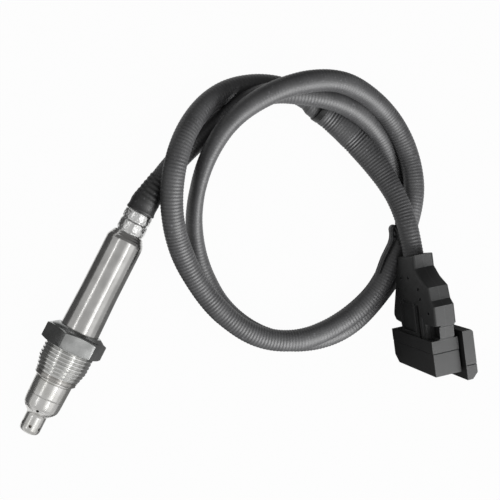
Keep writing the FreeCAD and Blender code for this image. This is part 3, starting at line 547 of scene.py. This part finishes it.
rings = turned([
    (13.5, 5.7), (13.5, 5.95), (13.9, 6.12), (14.3, 6.32), (14.45, 6.5), (14.9, 6.62), (15.3, 6.86),
    (15.45, 7.05), (15.9, 7.15), (16.3, 7.36), (16.8, 7.52), (17.4, 7.6), (17.4, 7.3), (15.0, 6.0),
], 96)
merge(rings, bead(75.7, 8.42, 0.14), bead(76.6, 8.42, 0.14))
smooth(rings, 60)
hand_over(rings, "rolled_rings", "sensor", "sleeve_steel")

# %% [markdown]
# The plug lies turned and slightly tilted on the coil. Its own three directions are along the
# plug, across it and up, and a matrix carries a place in them to the frame, so a detail can be
# written where it sits on the plug itself.

# %% The plug's own directions
PLUG_CORNER = Vector((-52.27, 123.73, 43.5)) * MM
PLUG_SWING, PLUG_TILT = 36.28, -2
PLUG_TURN = (
    Matrix.Rotation(math.radians(PLUG_SWING), 3, "Z") @ Matrix.Rotation(math.radians(PLUG_TILT), 3, "Y"))


def plug_box(low, high):
    """A box between two corners given in mm along, across and up the plug."""
    block = start(bpy.ops.mesh.primitive_cube_add, size=1)
    low, high = Vector(low), Vector(high)
    for vertex in block.data.vertices:
        share = vertex.co + Vector((0.5, 0.5, 0.5))
        place = Vector([a + (b - a) * part for a, b, part in zip(low, high, share)])
        vertex.co = PLUG_CORNER + PLUG_TURN @ place * MM
    return block


print("the plug points along", [round(value, 2) for value in PLUG_TURN @ Vector((1, 0, 0))])

# %% [markdown]
# Moulded parts have no knife-sharp edge. The plug's solids have the right shape, so each one is
# copied, its loose triangles are merged and flat ones dissolved, and a Bevel modifier rounds the
# edges by a few tenths of a millimetre, which is what catches the light in the photograph. The
# normals are then weighted by the size of the faces, so that large flat faces stay flat.

# %% Copy a solid as a moulded piece


def copy_of(node):
    """A new object with a merged copy of a solid's mesh."""
    mesh = bpy.data.objects[node].data.copy()
    mesh.materials.clear()
    piece = bpy.data.objects.new(node + "_moulded", mesh)
    bpy.context.collection.objects.link(piece)
    pick(piece)
    bpy.ops.object.mode_set(mode="EDIT")
    bpy.ops.mesh.select_all(action="SELECT")
    bpy.ops.mesh.remove_doubles(threshold=1e-6)
    bpy.ops.mesh.dissolve_limited(angle_limit=math.radians(1))
    bpy.ops.object.mode_set(mode="OBJECT")
    print(node, "copied with", len(piece.data.polygons), "flat faces")
    return piece


def soften(piece, width):
    """Round a moulded piece's sharp edges by a width in mm."""
    modify(
        piece, "BEVEL", width=width * MM, segments=2, limit_method="ANGLE",
        angle_limit=math.radians(32))
    smooth(piece, 35)
    modify(piece, "WEIGHTED_NORMAL", keep_sharp=True, weight=100)


# %% [markdown]
# The front half of the wire cover faces the camera's left. Its mould gave it a sunk panel with
# thin ribs, a deeper hollow near the block, and small sink holes. All of them could be inset and
# extruded face by face. Boxes in the plug's own directions are simpler to place: the hollows are
# cut out, and the ribs are joined to the panel's floor.

# %% The wire cover
cover = copy_of("wire_cover_front")
carve(cover, plug_box((-13.0, -0.5, -25.9), (-1.6, 1.6, -14.9)))
carve(cover, plug_box((-6.2, -0.5, -4.4), (-0.9, 5.0, 1.6)))
SMALL_HOLES = [
    (-24.1, -22.1), (-24.8, -15.4), (-18.8, -25.8), (-15.3, -25.8), (-21.0, -7.6), (-16.9, -6.9),
    (-11.6, -1.2),
]
HOLE_LENGTH, HOLE_HEIGHT, HOLE_DEPTH = 1.1, 1.2, 1.8
for along, up in SMALL_HOLES:
    carve(cover, plug_box(
        (along - HOLE_LENGTH / 2, -0.5, up - HOLE_HEIGHT / 2),
        (along + HOLE_LENGTH / 2, HOLE_DEPTH, up + HOLE_HEIGHT / 2)))
soften(cover, 0.25)
ribs = [
    plug_box((-14.2, 0.1, -13.8), (-1.8, 1.3, -12.3)),
    plug_box((-9.1, 0.3, -9.0), (-1.7, 1.3, -6.6)),
]
for rib in ribs:
    modify(rib, "BEVEL", width=0.3 * MM, segments=2)
merge(cover, *ribs)
hand_over(cover, "moulded_cover_front", "sensor", "plug_plastic", "wire_cover_front")

back_cover = copy_of("wire_cover_rear")
soften(back_cover, 0.3)
hand_over(back_cover, "moulded_cover_rear", "sensor", "plug_plastic", "wire_cover_rear")

# %% [markdown]
# The block, its shroud and the plate beside them are plain moulded boxes with chamfers, so the
# solids only need their edges rounded. A fine groove crosses the plate near one end, where two
# parts of its mould met, and it is cut with a thin box.

# %% The block and its plate
block = copy_of("plug_housing")
soften(block, 0.25)
hand_over(block, "moulded_block", "sensor", "plug_plastic", "plug_housing")

shroud = copy_of("plug_shroud")
soften(shroud, 0.3)
hand_over(shroud, "moulded_shroud", "sensor", "plug_plastic", "plug_shroud")

plate = copy_of("mounting_plate")
carve(plate, plug_box((11.9, 12.0, 2.2), (12.25, 18.5, 3.0)))
soften(plate, 0.3)
hand_over(plate, "moulded_plate", "sensor", "plug_plastic", "mounting_plate")

# %% [markdown]
# A cable tie is a thin nylon strap with a square head. Its loop follows the strands that it
# holds, so the places where the conduit crosses the strap's plane are looked up first. The loop
# is a circle whose points are moved round those strands; it is extruded to the strap's width,
# and a Solidify modifier gives it its thickness.

# %% Straps of the cable ties
STRAP_WIDTH = 2.6
STRAP_THICKNESS = 0.75
STRAP_RADIUS = 4.75
STRAP_POINTS = 56
CLOSE_BY = 9


def strands_at(middle, run):
    """Centres of the strands that cross the strap's plane close to its middle."""
    centres = []
    for before, after in zip(conduit_line, conduit_line[1:]):
        one, two = (before - middle).dot(run), (after - middle).dot(run)
        if (one <= 0 < two or two <= 0 < one) and (before - middle).length < CLOSE_BY * MM:
            centres.append(before)
    return centres


def strap_loop(centres, run):
    """A closed strap round one or two strands."""
    first, last = centres[0], centres[-1]
    line = (last - first).normalized() if len(centres) > 1 else Vector((0, 0, 1))
    side = run.cross(line).normalized()
    piece = start(bpy.ops.mesh.primitive_circle_add, vertices=STRAP_POINTS)
    for number, vertex in enumerate(piece.data.vertices):
        angle = 2 * math.pi * (number + 0.5) / STRAP_POINTS
        centre = last if math.cos(angle) > 0 else first
        outwards = line * math.cos(angle) + side * math.sin(angle)
        spot = centre + outwards * (STRAP_RADIUS * MM)
        vertex.co = spot - run * (STRAP_WIDTH / 2 * MM)
    bpy.ops.object.mode_set(mode="EDIT")
    bpy.ops.mesh.select_all(action="SELECT")
    bpy.ops.mesh.extrude_region_move(
        TRANSFORM_OT_translate={"value": run * (STRAP_WIDTH * MM)})
    bpy.ops.mesh.select_all(action="SELECT")
    bpy.ops.mesh.normals_make_consistent(inside=False)
    bpy.ops.object.mode_set(mode="OBJECT")
    modify(piece, "SOLIDIFY", thickness=STRAP_THICKNESS * MM, offset=1)
    modify(
        piece, "BEVEL", width=0.15 * MM, segments=2, limit_method="ANGLE",
        angle_limit=math.radians(50))
    return piece


def strap_head(spot, run, line, size):
    """The square head, with its long side along the strap."""
    side = run.cross(line).normalized()
    piece = start(bpy.ops.mesh.primitive_cube_add, size=1)
    for vertex in piece.data.vertices:
        x, y, z = [part * length * MM for part, length in zip(vertex.co, size)]
        vertex.co = spot + run * x + line * y + side * z
    modify(piece, "BEVEL", width=0.45 * MM, segments=3)
    return piece


# %% [markdown]
# The upper tie sits where the conduit turns towards the plug. In the photograph only its strap
# shows, tight round the strand that leads to the plug, so its head lies on the outer side.

# %% The upper tie
UPPER_RUN = Vector((0.07, 0.99, 0.02)).normalized()
upper_strands = strands_at(Vector((-119.4, 50.0, 5.6)) * MM, UPPER_RUN)[-1:]
print("upper tie holds", [[round(value / MM, 1) for value in place] for place in upper_strands])
upper_tie = strap_loop(upper_strands, UPPER_RUN)
head_spot = upper_strands[0] + Vector((-6.0, 0.3, 0.6)) * MM
upper_head = strap_head(head_spot, UPPER_RUN, Vector((0, 0, 1)), (4.2, 4.0, 2.2))
merge(upper_tie, upper_head)
smooth(upper_tie, 40)
hand_over(upper_tie, "strap_tie_upper", "sensor", "tie_plastic", "coil_tie_upper")

# %% [markdown]
# The right tie has a long loose tail that curls over the strands and is seen on edge. A strap on
# edge could be a bent plane, but a curve with an upright extrusion is easier to lay: the curve is
# given its height and a small bevel, and converted to a mesh.

# %% The right tie
TAIL_MM = [
    (-85.6, 103.8, 17.0), (-88.0, 101.4, 17.6), (-90.0, 98.1, 18.0), (-88.4, 97.1, 18.0),
    (-86.4, 99.4, 17.2), (-83.5, 100.9, 16.4), (-80.0, 101.3, 15.6), (-76.0, 101.6, 15.0),
    (-72.6, 102.2, 14.7), (-69.5, 102.7, 14.5),
]
RIGHT_RUN = Vector((0.96, 0.16, -0.06)).normalized()
right_strands = strands_at(Vector((-88.7, 109.5, 9.7)) * MM, RIGHT_RUN)
print("right tie holds", [[round(value / MM, 1) for value in place] for place in right_strands])
right_tie = strap_loop(right_strands, RIGHT_RUN)

tail_curve = bpy.data.curves.new("tie_tail", "CURVE")
tail_curve.dimensions = "3D"
tail_curve.twist_mode = "Z_UP"
tail_curve.extrude = 0.75 * MM
tail_curve.bevel_depth = 0.8 * MM
tail_curve.bevel_resolution = 2
tail_spline = tail_curve.splines.new("NURBS")
tail_spline.points.add(len(TAIL_MM) - 1)
for control, place in zip(tail_spline.points, TAIL_MM):
    control.co = (*[value * MM for value in place], 1)
tail_spline.order_u = 3
tail_spline.use_endpoint_u = True
tail_spline.resolution_u = 8
tail_curve.use_fill_caps = True
tail = bpy.data.objects.new("tie_tail", tail_curve)
bpy.context.collection.objects.link(tail)
pick(tail)
bpy.ops.object.convert(target="MESH")
tail = bpy.context.object
head_spot = Vector((-85.6, 104.4, 16.0)) * MM
right_head = strap_head(head_spot, RIGHT_RUN, Vector((0, 0.2, 1)).normalized(), (4.0, 3.6, 2.4))
merge(right_tie, tail, right_head)
smooth(right_tie, 40)
hand_over(right_tie, "strap_tie_right", "sensor", "tie_plastic", "coil_tie_right")

# %% [markdown]
# Every finish starts from what the real material is. Colours are written as the hexadecimal
# numbers that a paint program shows, and one function turns them into the linear values that
# the renderer counts in. One more function adds a node, sets it and links it.

# %% Two helpers for materials


def colour(code):
    """Linear colour of a hex code such as #4a4a4a."""
    parts = [int(code[index:index + 2], 16) / 255 for index in (1, 3, 5)]
    linear = [part / 12.92 if part <= 0.04045 else ((part + 0.055) / 1.055) ** 2.4 for part in parts]
    return (*linear, 1)


def add(tree, kind, settings=None, inputs=None, stops=None):
    """Add one node; an input takes a number, a colour or the socket that feeds it."""
    node = tree.nodes.new("ShaderNode" + kind)
    for name, value in (settings or {}).items():
        setattr(node, name, value)
    for name, value in (inputs or {}).items():
        if isinstance(value, bpy.types.NodeSocket):
            tree.links.new(value, node.inputs[name])
        else:
            node.inputs[name].default_value = value
    for number, (place, code) in enumerate(stops or []):
        elements = node.color_ramp.elements
        element = elements[number] if number < len(elements) else elements.new(place)
        element.position = place
        element.color = colour(code)
    return node


def new_material(name):
    """An empty material and its tree."""
    material = bpy.data.materials.new(name)
    material.use_nodes = True
    material.node_tree.nodes.clear()
    return material, material.node_tree


def close(tree, shader):
    """Lead the shader to the output."""
    add(tree, "OutputMaterial", inputs={"Surface": shader.outputs[0]})


print("mid grey in linear light:", [round(part, 3) for part in colour("#808080")[:3]])

# %% [markdown]
# The conduit is black polyamide, extruded and corrugated. Its skin is semi-matt, with faint grey
# scuffs and a little dust, so its roughness and tone wander over a few millimetres. The boot is
# cross-linked rubber, darker and rougher. The ties are solid nylon, smoother than both, and the
# hidden grommet is fluoro rubber. One flat black would look like a cut-out, so all four are one
# family: a dark plastic with two clouds of noise and a fine grain.

# %% Dark plastics and rubbers
POLYAMIDE_IOR = 1.53
DUST_GREY = "#646467"


def dark_plastic(name, deep, worn, smooth_side, rough_side, cloud_mm, grain_mm, grain_depth_mm):
    """A near-black moulded or extruded plastic with wandering tone and fine grain."""
    material, tree = new_material(name)
    place = add(tree, "TexCoord").outputs["Object"]
    cloud = add(tree, "TexNoise", inputs={"Vector": place, "Scale": 1 / (cloud_mm * MM), "Detail": 4})
    scuff = add(tree, "TexNoise", inputs={"Vector": place, "Scale": 1 / (1.1 * MM), "Detail": 6})
    # The skin's real grain is under 0.1 mm wide; it is drawn three or four times as coarse.
    grain = add(tree, "TexNoise", inputs={"Vector": place, "Scale": 1 / (grain_mm * MM), "Detail": 2})
    tone = add(
        tree, "ValToRGB", inputs={"Fac": cloud.outputs["Fac"]}, stops=[(0.32, deep), (0.7, worn)])
    scuffed = add(
        tree, "ValToRGB", inputs={"Fac": scuff.outputs["Fac"]},
        stops=[(0.6, "#000000"), (0.78, "#ffffff")])
    dusty = add(
        tree, "Mix", {"data_type": "RGBA"},
        {"Factor": scuffed.outputs["Color"], 6: tone.outputs["Color"], 7: colour(DUST_GREY)})
    rough = add(
        tree, "MapRange",
        inputs={"Value": cloud.outputs["Fac"], "To Min": smooth_side, "To Max": rough_side})
    relief = add(
        tree, "Bump",
        inputs={"Height": grain.outputs["Fac"], "Distance": grain_depth_mm * MM, "Strength": 0.4})
    shader = add(tree, "BsdfPrincipled", inputs={
        "Base Color": dusty.outputs[2], "Roughness": rough.outputs["Result"],
        "Normal": relief.outputs["Normal"], "IOR": POLYAMIDE_IOR,
    })
    close(tree, shader)
    return material


FINISH = {
    "ribbed_conduit": dark_plastic(
        "extruded_black_polyamide", "#363637", "#444445", 0.46, 0.58, 9, 0.35, 0.03),
    "shrunk_boot": dark_plastic(
        "shrunk_black_rubber", "#1c1c1d", "#292929", 0.5, 0.62, 5, 0.5, 0.06),
    "strap_tie_upper": dark_plastic(
        "black_tie_nylon", "#141415", "#1e1e1f", 0.4, 0.5, 4, 0.4, 0.03),
    "cable_grommet": dark_plastic(
        "moulded_fluoro_rubber", "#232323", "#2e2e2e", 0.5, 0.65, 5, 0.4, 0.05),
}
FINISH["strap_tie_right"] = FINISH["strap_tie_upper"]
print("dark plastics:", len(FINISH))

# %% [markdown]
# Plugs like this are injection moulded in glass-filled polyamide. The mould leaves a fine matt
# spark grain, the tone wanders a little, and edges that rub turn grey. Wear could be painted on
# the faces, but then it would end where they end. Here it compares the true normal with one
# that the Bevel node has rounded: they differ only on edges, from wherever they are seen.

# %% Moulded plug plastic


def moulded_plastic(name, deep, pale, edge):
    """A grained plastic whose edges have rubbed pale."""
    material, tree = new_material(name)
    place = add(tree, "TexCoord").outputs["Object"]
    cloud = add(tree, "TexNoise", inputs={"Vector": place, "Scale": 1 / (6 * MM), "Detail": 3})
    # Real spark grain is about 0.05 mm wide; it is drawn at 0.3 mm so that it shows.
    grain = add(tree, "TexNoise", inputs={"Vector": place, "Scale": 1 / (0.3 * MM), "Detail": 2})
    tone = add(
        tree, "ValToRGB", inputs={"Fac": cloud.outputs["Fac"]}, stops=[(0.3, deep), (0.7, pale)])
    rounded = add(tree, "Bevel", {"samples": 4}, {"Radius": 0.45 * MM})
    true_normal = add(tree, "NewGeometry").outputs["Normal"]
    same = add(
        tree, "VectorMath", {"operation": "DOT_PRODUCT"},
        {0: rounded.outputs["Normal"], 1: true_normal})
    wear = add(
        tree, "MapRange",
        inputs={"Value": same.outputs["Value"], "From Min": 0.985, "From Max": 0.86, "To Max": 0.7})
    mixed = add(
        tree, "Mix", {"data_type": "RGBA"},
        {"Factor": wear.outputs["Result"], 6: tone.outputs["Color"], 7: colour(edge)})
    rough = add(
        tree, "MapRange", inputs={"Value": cloud.outputs["Fac"], "To Min": 0.56, "To Max": 0.68})
    relief = add(
        tree, "Bump", inputs={"Height": grain.outputs["Fac"], "Distance": 0.12 * MM, "Strength": 0.7})
    shader = add(tree, "BsdfPrincipled", inputs={
        "Base Color": mixed.outputs[2], "Roughness": rough.outputs["Result"],
        "Normal": relief.outputs["Normal"], "IOR": POLYAMIDE_IOR,
    })
    close(tree, shader)
    return material


PLUG_BLACK = moulded_plastic("glass_filled_polyamide", "#0e0f0f", "#1b1c1c", "#38393a")
for piece in (cover, back_cover, block, shroud, plate):
    FINISH[piece.name] = PLUG_BLACK
FINISH["contact_insert"] = moulded_plastic("grey_insert_polyester", "#3b3c3e", "#4a4b4d", "#66676a")
print("plastics and rubbers on", len(FINISH), "pieces and solids")

# %% [markdown]
# The probe's steel parts differ in how they were made. The drawn protection tube is satin, the
# sleeve is polished along its length, the nut and the body are turned, and the crimped neck is
# bright nickel-plated tube. One mirror for all would look like chrome, so each has its own tone
# and roughness. Fine marks are noise that a Mapping node stretches along the probe or round it,
# and a soft stain darkens the tone a little. The hidden springs and contacts, of a nickel alloy
# and of tinned bronze, are made the same way.

# %% Steels


def steel(name, pale, dark, smooth_side, rough_side, along=1.0, around=1.0, dents=0.0):
    """Metal whose fine marks are stretched along the probe or round it."""
    material, tree = new_material(name)
    place = add(tree, "TexCoord").outputs["Object"]
    stretched = add(
        tree, "Mapping",
        inputs={"Vector": place, "Location": (0, 0, -AXIS_HEIGHT), "Scale": (along, around, around)})
    # Turning and drawing marks are about 0.05 mm wide; they are drawn at 0.4 mm so that they show.
    marks = add(
        tree, "TexNoise",
        inputs={"Vector": stretched.outputs["Vector"], "Scale": 1 / (0.4 * MM), "Detail": 3})
    stain = add(tree, "TexNoise", inputs={"Vector": place, "Scale": 1 / (6 * MM), "Detail": 5})
    tone = add(
        tree, "ValToRGB", inputs={"Fac": stain.outputs["Fac"]}, stops=[(0.36, dark), (0.62, pale)])
    rough = add(
        tree, "MapRange",
        inputs={"Value": marks.outputs["Fac"], "To Min": smooth_side, "To Max": rough_side})
    relief = add(
        tree, "Bump", inputs={"Height": marks.outputs["Fac"], "Distance": 0.01 * MM, "Strength": 0.3})
    normal = relief.outputs["Normal"]
    if dents:
        pressed = add(
            tree, "TexNoise", inputs={"Vector": place, "Scale": 1 / (1.3 * MM), "Detail": 1})
        normal = add(tree, "Bump", inputs={
            "Height": pressed.outputs["Fac"], "Distance": dents * MM, "Strength": 0.9, "Normal": normal,
        }).outputs["Normal"]
    shader = add(tree, "BsdfPrincipled", inputs={
        "Base Color": tone.outputs["Color"], "Metallic": 1.0, "Roughness": rough.outputs["Result"],
        "Normal": normal,
    })
    close(tree, shader)
    return material


SLEEVE_STEEL = steel("polished_sleeve_steel", "#c6c5c3", "#b8b7b5", 0.16, 0.26, 0.05, 1.0)
FINISH.update({
    "drawn_protection_tube": steel("satin_drawn_steel", "#dedddb", "#cecdc9", 0.2, 0.32, 0.08, 1.0),
    "inner_protection_tube": steel("blued_inner_steel", "#a8a29c", "#8c857e", 0.3, 0.4),
    "sensor_body": steel("turned_body_steel", "#c4c2be", "#aba8a4", 0.18, 0.3, 1.0, 0.1),
    "rolled_union_thread": steel("rolled_thread_steel", "#dededc", "#c8c8c6", 0.16, 0.26, 1.0, 0.15),
    "union_hexagon": steel("turned_nut_steel", "#a2a3a2", "#8c8d8c", 0.18, 0.3, 1.0, 0.15),
    "sleeve_tube": SLEEVE_STEEL,
    "rolled_rings": SLEEVE_STEEL,
    "crimped_neck": steel("bright_crimped_steel", "#e4e4e3", "#c4c4c3", 0.16, 0.3, 1.0, 1.0, 0.4),
    "contact_springs": steel("nickel_spring_alloy", "#b9b39f", "#a39d8b", 0.25, 0.35),
    "socket_contacts": steel("tinned_bronze", "#c7b08a", "#b39a72", 0.22, 0.34),
})
print("with the metals, finishes on", len(FINISH), "pieces and solids")

# %% [markdown]
# Inside the probe sit pressed and fired ceramics: the sensing element is grey zirconia, the
# insulators are cream steatite, and between them is compacted talc. Fired ceramic is fine and
# dull with a hint of gloss; talc is chalky and speckled. The leads are insulated in a waxy
# fluoropolymer, and the plug's seal is orange silicone.

# %% Ceramics, lead insulation and seal


def fired(name, low, high, roughness, speck_mm, waxy=0.0):
    """A pale fine-grained material with small specks and soft relief."""
    material, tree = new_material(name)
    place = add(tree, "TexCoord").outputs["Object"]
    # Real grains are a few hundredths of a millimetre; they are drawn as coarse as they show.
    speck = add(tree, "TexNoise", inputs={"Vector": place, "Scale": 1 / (speck_mm * MM), "Detail": 5})
    tone = add(
        tree, "ValToRGB", inputs={"Fac": speck.outputs["Fac"]}, stops=[(0.35, low), (0.65, high)])
    rough = add(
        tree, "MapRange",
        inputs={"Value": speck.outputs["Fac"], "To Min": roughness - 0.08, "To Max": roughness + 0.08})
    relief = add(
        tree, "Bump", inputs={"Height": speck.outputs["Fac"], "Distance": 0.03 * MM, "Strength": 0.3})
    shader = add(tree, "BsdfPrincipled", inputs={
        "Base Color": tone.outputs["Color"], "Roughness": rough.outputs["Result"],
        "Normal": relief.outputs["Normal"], "Coat Weight": waxy,
    })
    close(tree, shader)
    return material


STEATITE = fired("fired_steatite", "#d9d0bc", "#e6dfcf", 0.5, 0.8)
FINISH.update({
    "sensing_element": fired("sintered_zirconia", "#b9b9b4", "#cbcbc6", 0.42, 0.6),
    "lower_insulator": STEATITE,
    "upper_insulator": STEATITE,
    "contact_holder": STEATITE,
    "talc_seal": fired("compacted_talc", "#cfcdc6", "#e4e2dc", 0.8, 0.5),
    "lead_wires": fired("extruded_fluoropolymer", "#d8d8d2", "#e6e6e0", 0.38, 2.0, 0.2),
    "housing_seal": fired("moulded_silicone", "#a8552c", "#b7612f", 0.55, 1.5),
})
for name, made in FINISH.items():
    thing = bpy.data.objects[name]
    if not thing.material_slots:
        thing.data.materials.append(made)
    for holder in thing.material_slots:
        holder.material = made
print("pieces and solids with a finish:", len(FINISH))

# %% [markdown]
# The sensor lies on white paper. Where the camera, a mirror-like surface or glass looks straight
# at the paper it reads as white, and the paper still takes the object's soft shadow. Polished
# metal on white would look washed out, so grey cards are laid beside it. They glow with a fixed
# tone, and only shiny surfaces see them: they are painted reflections of darker surroundings.
# Three of them lie left and right of the probe and by the plug, and one stands behind the cable
# end. They give the steel its dark edges and cast no shadow. The one by the plug is painted
# shade: it stands for the shadow on the paper under the plug, which the plug's faces reflect.

# %% Floor and cards
FLOOR_SIZE, FLOOR_DROP = 6, 0.2 * MM
PAPER_GLOW = 0.97
floor = start(bpy.ops.mesh.primitive_plane_add, size=FLOOR_SIZE)
floor.name = "paper_floor"
for vertex in floor.data.vertices:
    vertex.co.z = -FLOOR_DROP
material, tree = new_material("white_paper")
rays = add(tree, "LightPath")
seen = add(
    tree, "Math", {"operation": "MAXIMUM"},
    {0: rays.outputs["Is Camera Ray"], 1: rays.outputs["Is Glossy Ray"]})
seen = add(
    tree, "Math", {"operation": "MAXIMUM"},
    {0: seen.outputs[0], 1: rays.outputs["Is Transmission Ray"]})
paper = add(tree, "BsdfDiffuse", inputs={"Color": colour("#f4f4f4")})
glow = add(tree, "Emission", inputs={"Color": (1, 1, 1, 1), "Strength": 1.0})
bright = add(tree, "MixShader", inputs={0: PAPER_GLOW, 1: paper.outputs[0], 2: glow.outputs[0]})
shown = add(tree, "MixShader", inputs={0: seen.outputs[0], 1: paper.outputs[0], 2: bright.outputs[0]})
close(tree, shown)
floor.data.materials.append(material)
print("floor of %.0f m" % FLOOR_SIZE)


def card(name, corners_mm, tone):
    """A grey card that glows with a fixed tone and that only shiny surfaces see: a painted reflection.
    """
    piece = start(bpy.ops.mesh.primitive_plane_add, size=1)
    piece.name = name
    for vertex, place in zip(piece.data.vertices, corners_mm):
        vertex.co = Vector(place) * MM
    made, tree = new_material(name + "_painted_reflection")
    # The card glows with its own tone and nothing lights it: it is a painted reflection.
    close(tree, add(tree, "Emission", inputs={"Color": colour(tone), "Strength": 1.0}))
    piece.data.materials.append(made)
    piece.visible_camera = False
    piece.visible_diffuse = False
    piece.visible_shadow = False
    piece.visible_transmission = False
    print(name, tone)


card(
    "card_left_of_probe",
    [(-75, -13, 0.3), (95, -13, 0.3), (-75, -420, 6), (95, -420, 6)], "#5c5c5c")
card(
    "card_right_of_probe",
    [(-32, 13, 0.3), (95, 13, 0.3), (-32, 300, 6), (95, 300, 6)], "#808080")
# Painted shade: a dark sheet for the shadow on the paper under the plug, seen only in the plug's
# reflections.
card(
    "painted_shade_by_plug",
    [(-110, 95, 0.1), (-10, 95, 0.1), (-110, 170, 0.1), (-10, 170, 0.1)], "#383838")
card(
    "card_behind",
    [(-170, -300, 0.1), (-170, 300, 0.1), (-170, -300, 200), (-170, 300, 200)], "#767676")

# %% [markdown]
# The light is a plain pale world and four long soft lamps. The world is brighter for what steel
# mirrors than for what it lights, so that the black plastics stay black. A polished tube shows
# each lamp as a bright stripe along its length, so each one is placed by the stripe that it
# leaves: a lamp at an angle above the probe shows up at half that angle round the tube.

# %% World and lamps
world = bpy.data.worlds.new("studio")
world.use_nodes = True
bpy.context.scene.world = world
tree = world.node_tree
tree.nodes.clear()
rays = add(tree, "LightPath")
WHITE = (1, 1, 1, 1)
room = add(tree, "Background", inputs={"Color": WHITE, "Strength": 0.18})
mirrored = add(tree, "Background", inputs={"Color": WHITE, "Strength": 0.6})
white = add(tree, "Background", inputs={"Color": WHITE, "Strength": 1.0})
lit = add(
    tree, "MixShader",
    inputs={0: rays.outputs["Is Glossy Ray"], 1: room.outputs[0], 2: mirrored.outputs[0]})
both = add(
    tree, "MixShader",
    inputs={0: rays.outputs["Is Camera Ray"], 1: lit.outputs[0], 2: white.outputs[0]})
add(tree, "OutputWorld", inputs={"Surface": both.outputs[0]})
bpy.context.scene.view_settings.view_transform = "Standard"


def lamp(name, tilt, distance, length, width, power, middle=(-0.02, 0.0, 0.011)):
    """A soft rectangular light, tilted from straight above the probe towards +Y."""
    light = bpy.data.lights.new(name, "AREA")
    light.shape = "RECTANGLE"
    light.size, light.size_y = length, width
    light.energy = power
    holder = bpy.data.objects.new(name, light)
    bpy.context.collection.objects.link(holder)
    lean = math.radians(tilt)
    middle = Vector(middle)
    holder.location = middle + Vector((0, math.sin(lean), math.cos(lean))) * distance
    holder.rotation_euler = (-lean, 0, 0)
    print(name, "at", [round(value, 2) for value in holder.location])
    return holder


lamp("right_stripe", 25, 0.55, 0.6, 0.035, 0.3)
lamp("right_box", 48, 0.6, 0.7, 0.28, 0.3)
lamp("left_stripe", -47, 0.55, 0.6, 0.025, 0.22)
lamp("top_box", 16, 0.62, 0.7, 0.22, 0.3)

# %% [markdown]
# Black plastic needs much more light than steel before its shape shows. A photographer would
# flag the lamp off the metal with a board. Here a large lamp beyond the plug is linked to the
# conduit, the boot and the plug alone, and the steel and the thin ties don't receive it.

# %% The lamp for the coil and the plug
KEY_FROM = Vector((0.34, 0.8, 0.72)).normalized()
KEY_SIZE, KEY_POWER, KEY_DISTANCE = 0.42, 8.0, 0.65
COIL_MIDDLE = Vector((-0.078, 0.06, 0.0))
coil_key = lamp("coil_key", 0, 0.1, KEY_SIZE, KEY_SIZE, KEY_POWER)
coil_key.location = COIL_MIDDLE + KEY_FROM * KEY_DISTANCE
coil_key.rotation_euler = KEY_FROM.to_track_quat("Z", "Y").to_euler()
lit_pieces = bpy.data.collections.new("coil_and_plug")
for piece in (conduit, boot, cover, back_cover, block, shroud, plate):
    lit_pieces.objects.link(piece)
coil_key.light_linking.receiver_collection = lit_pieces
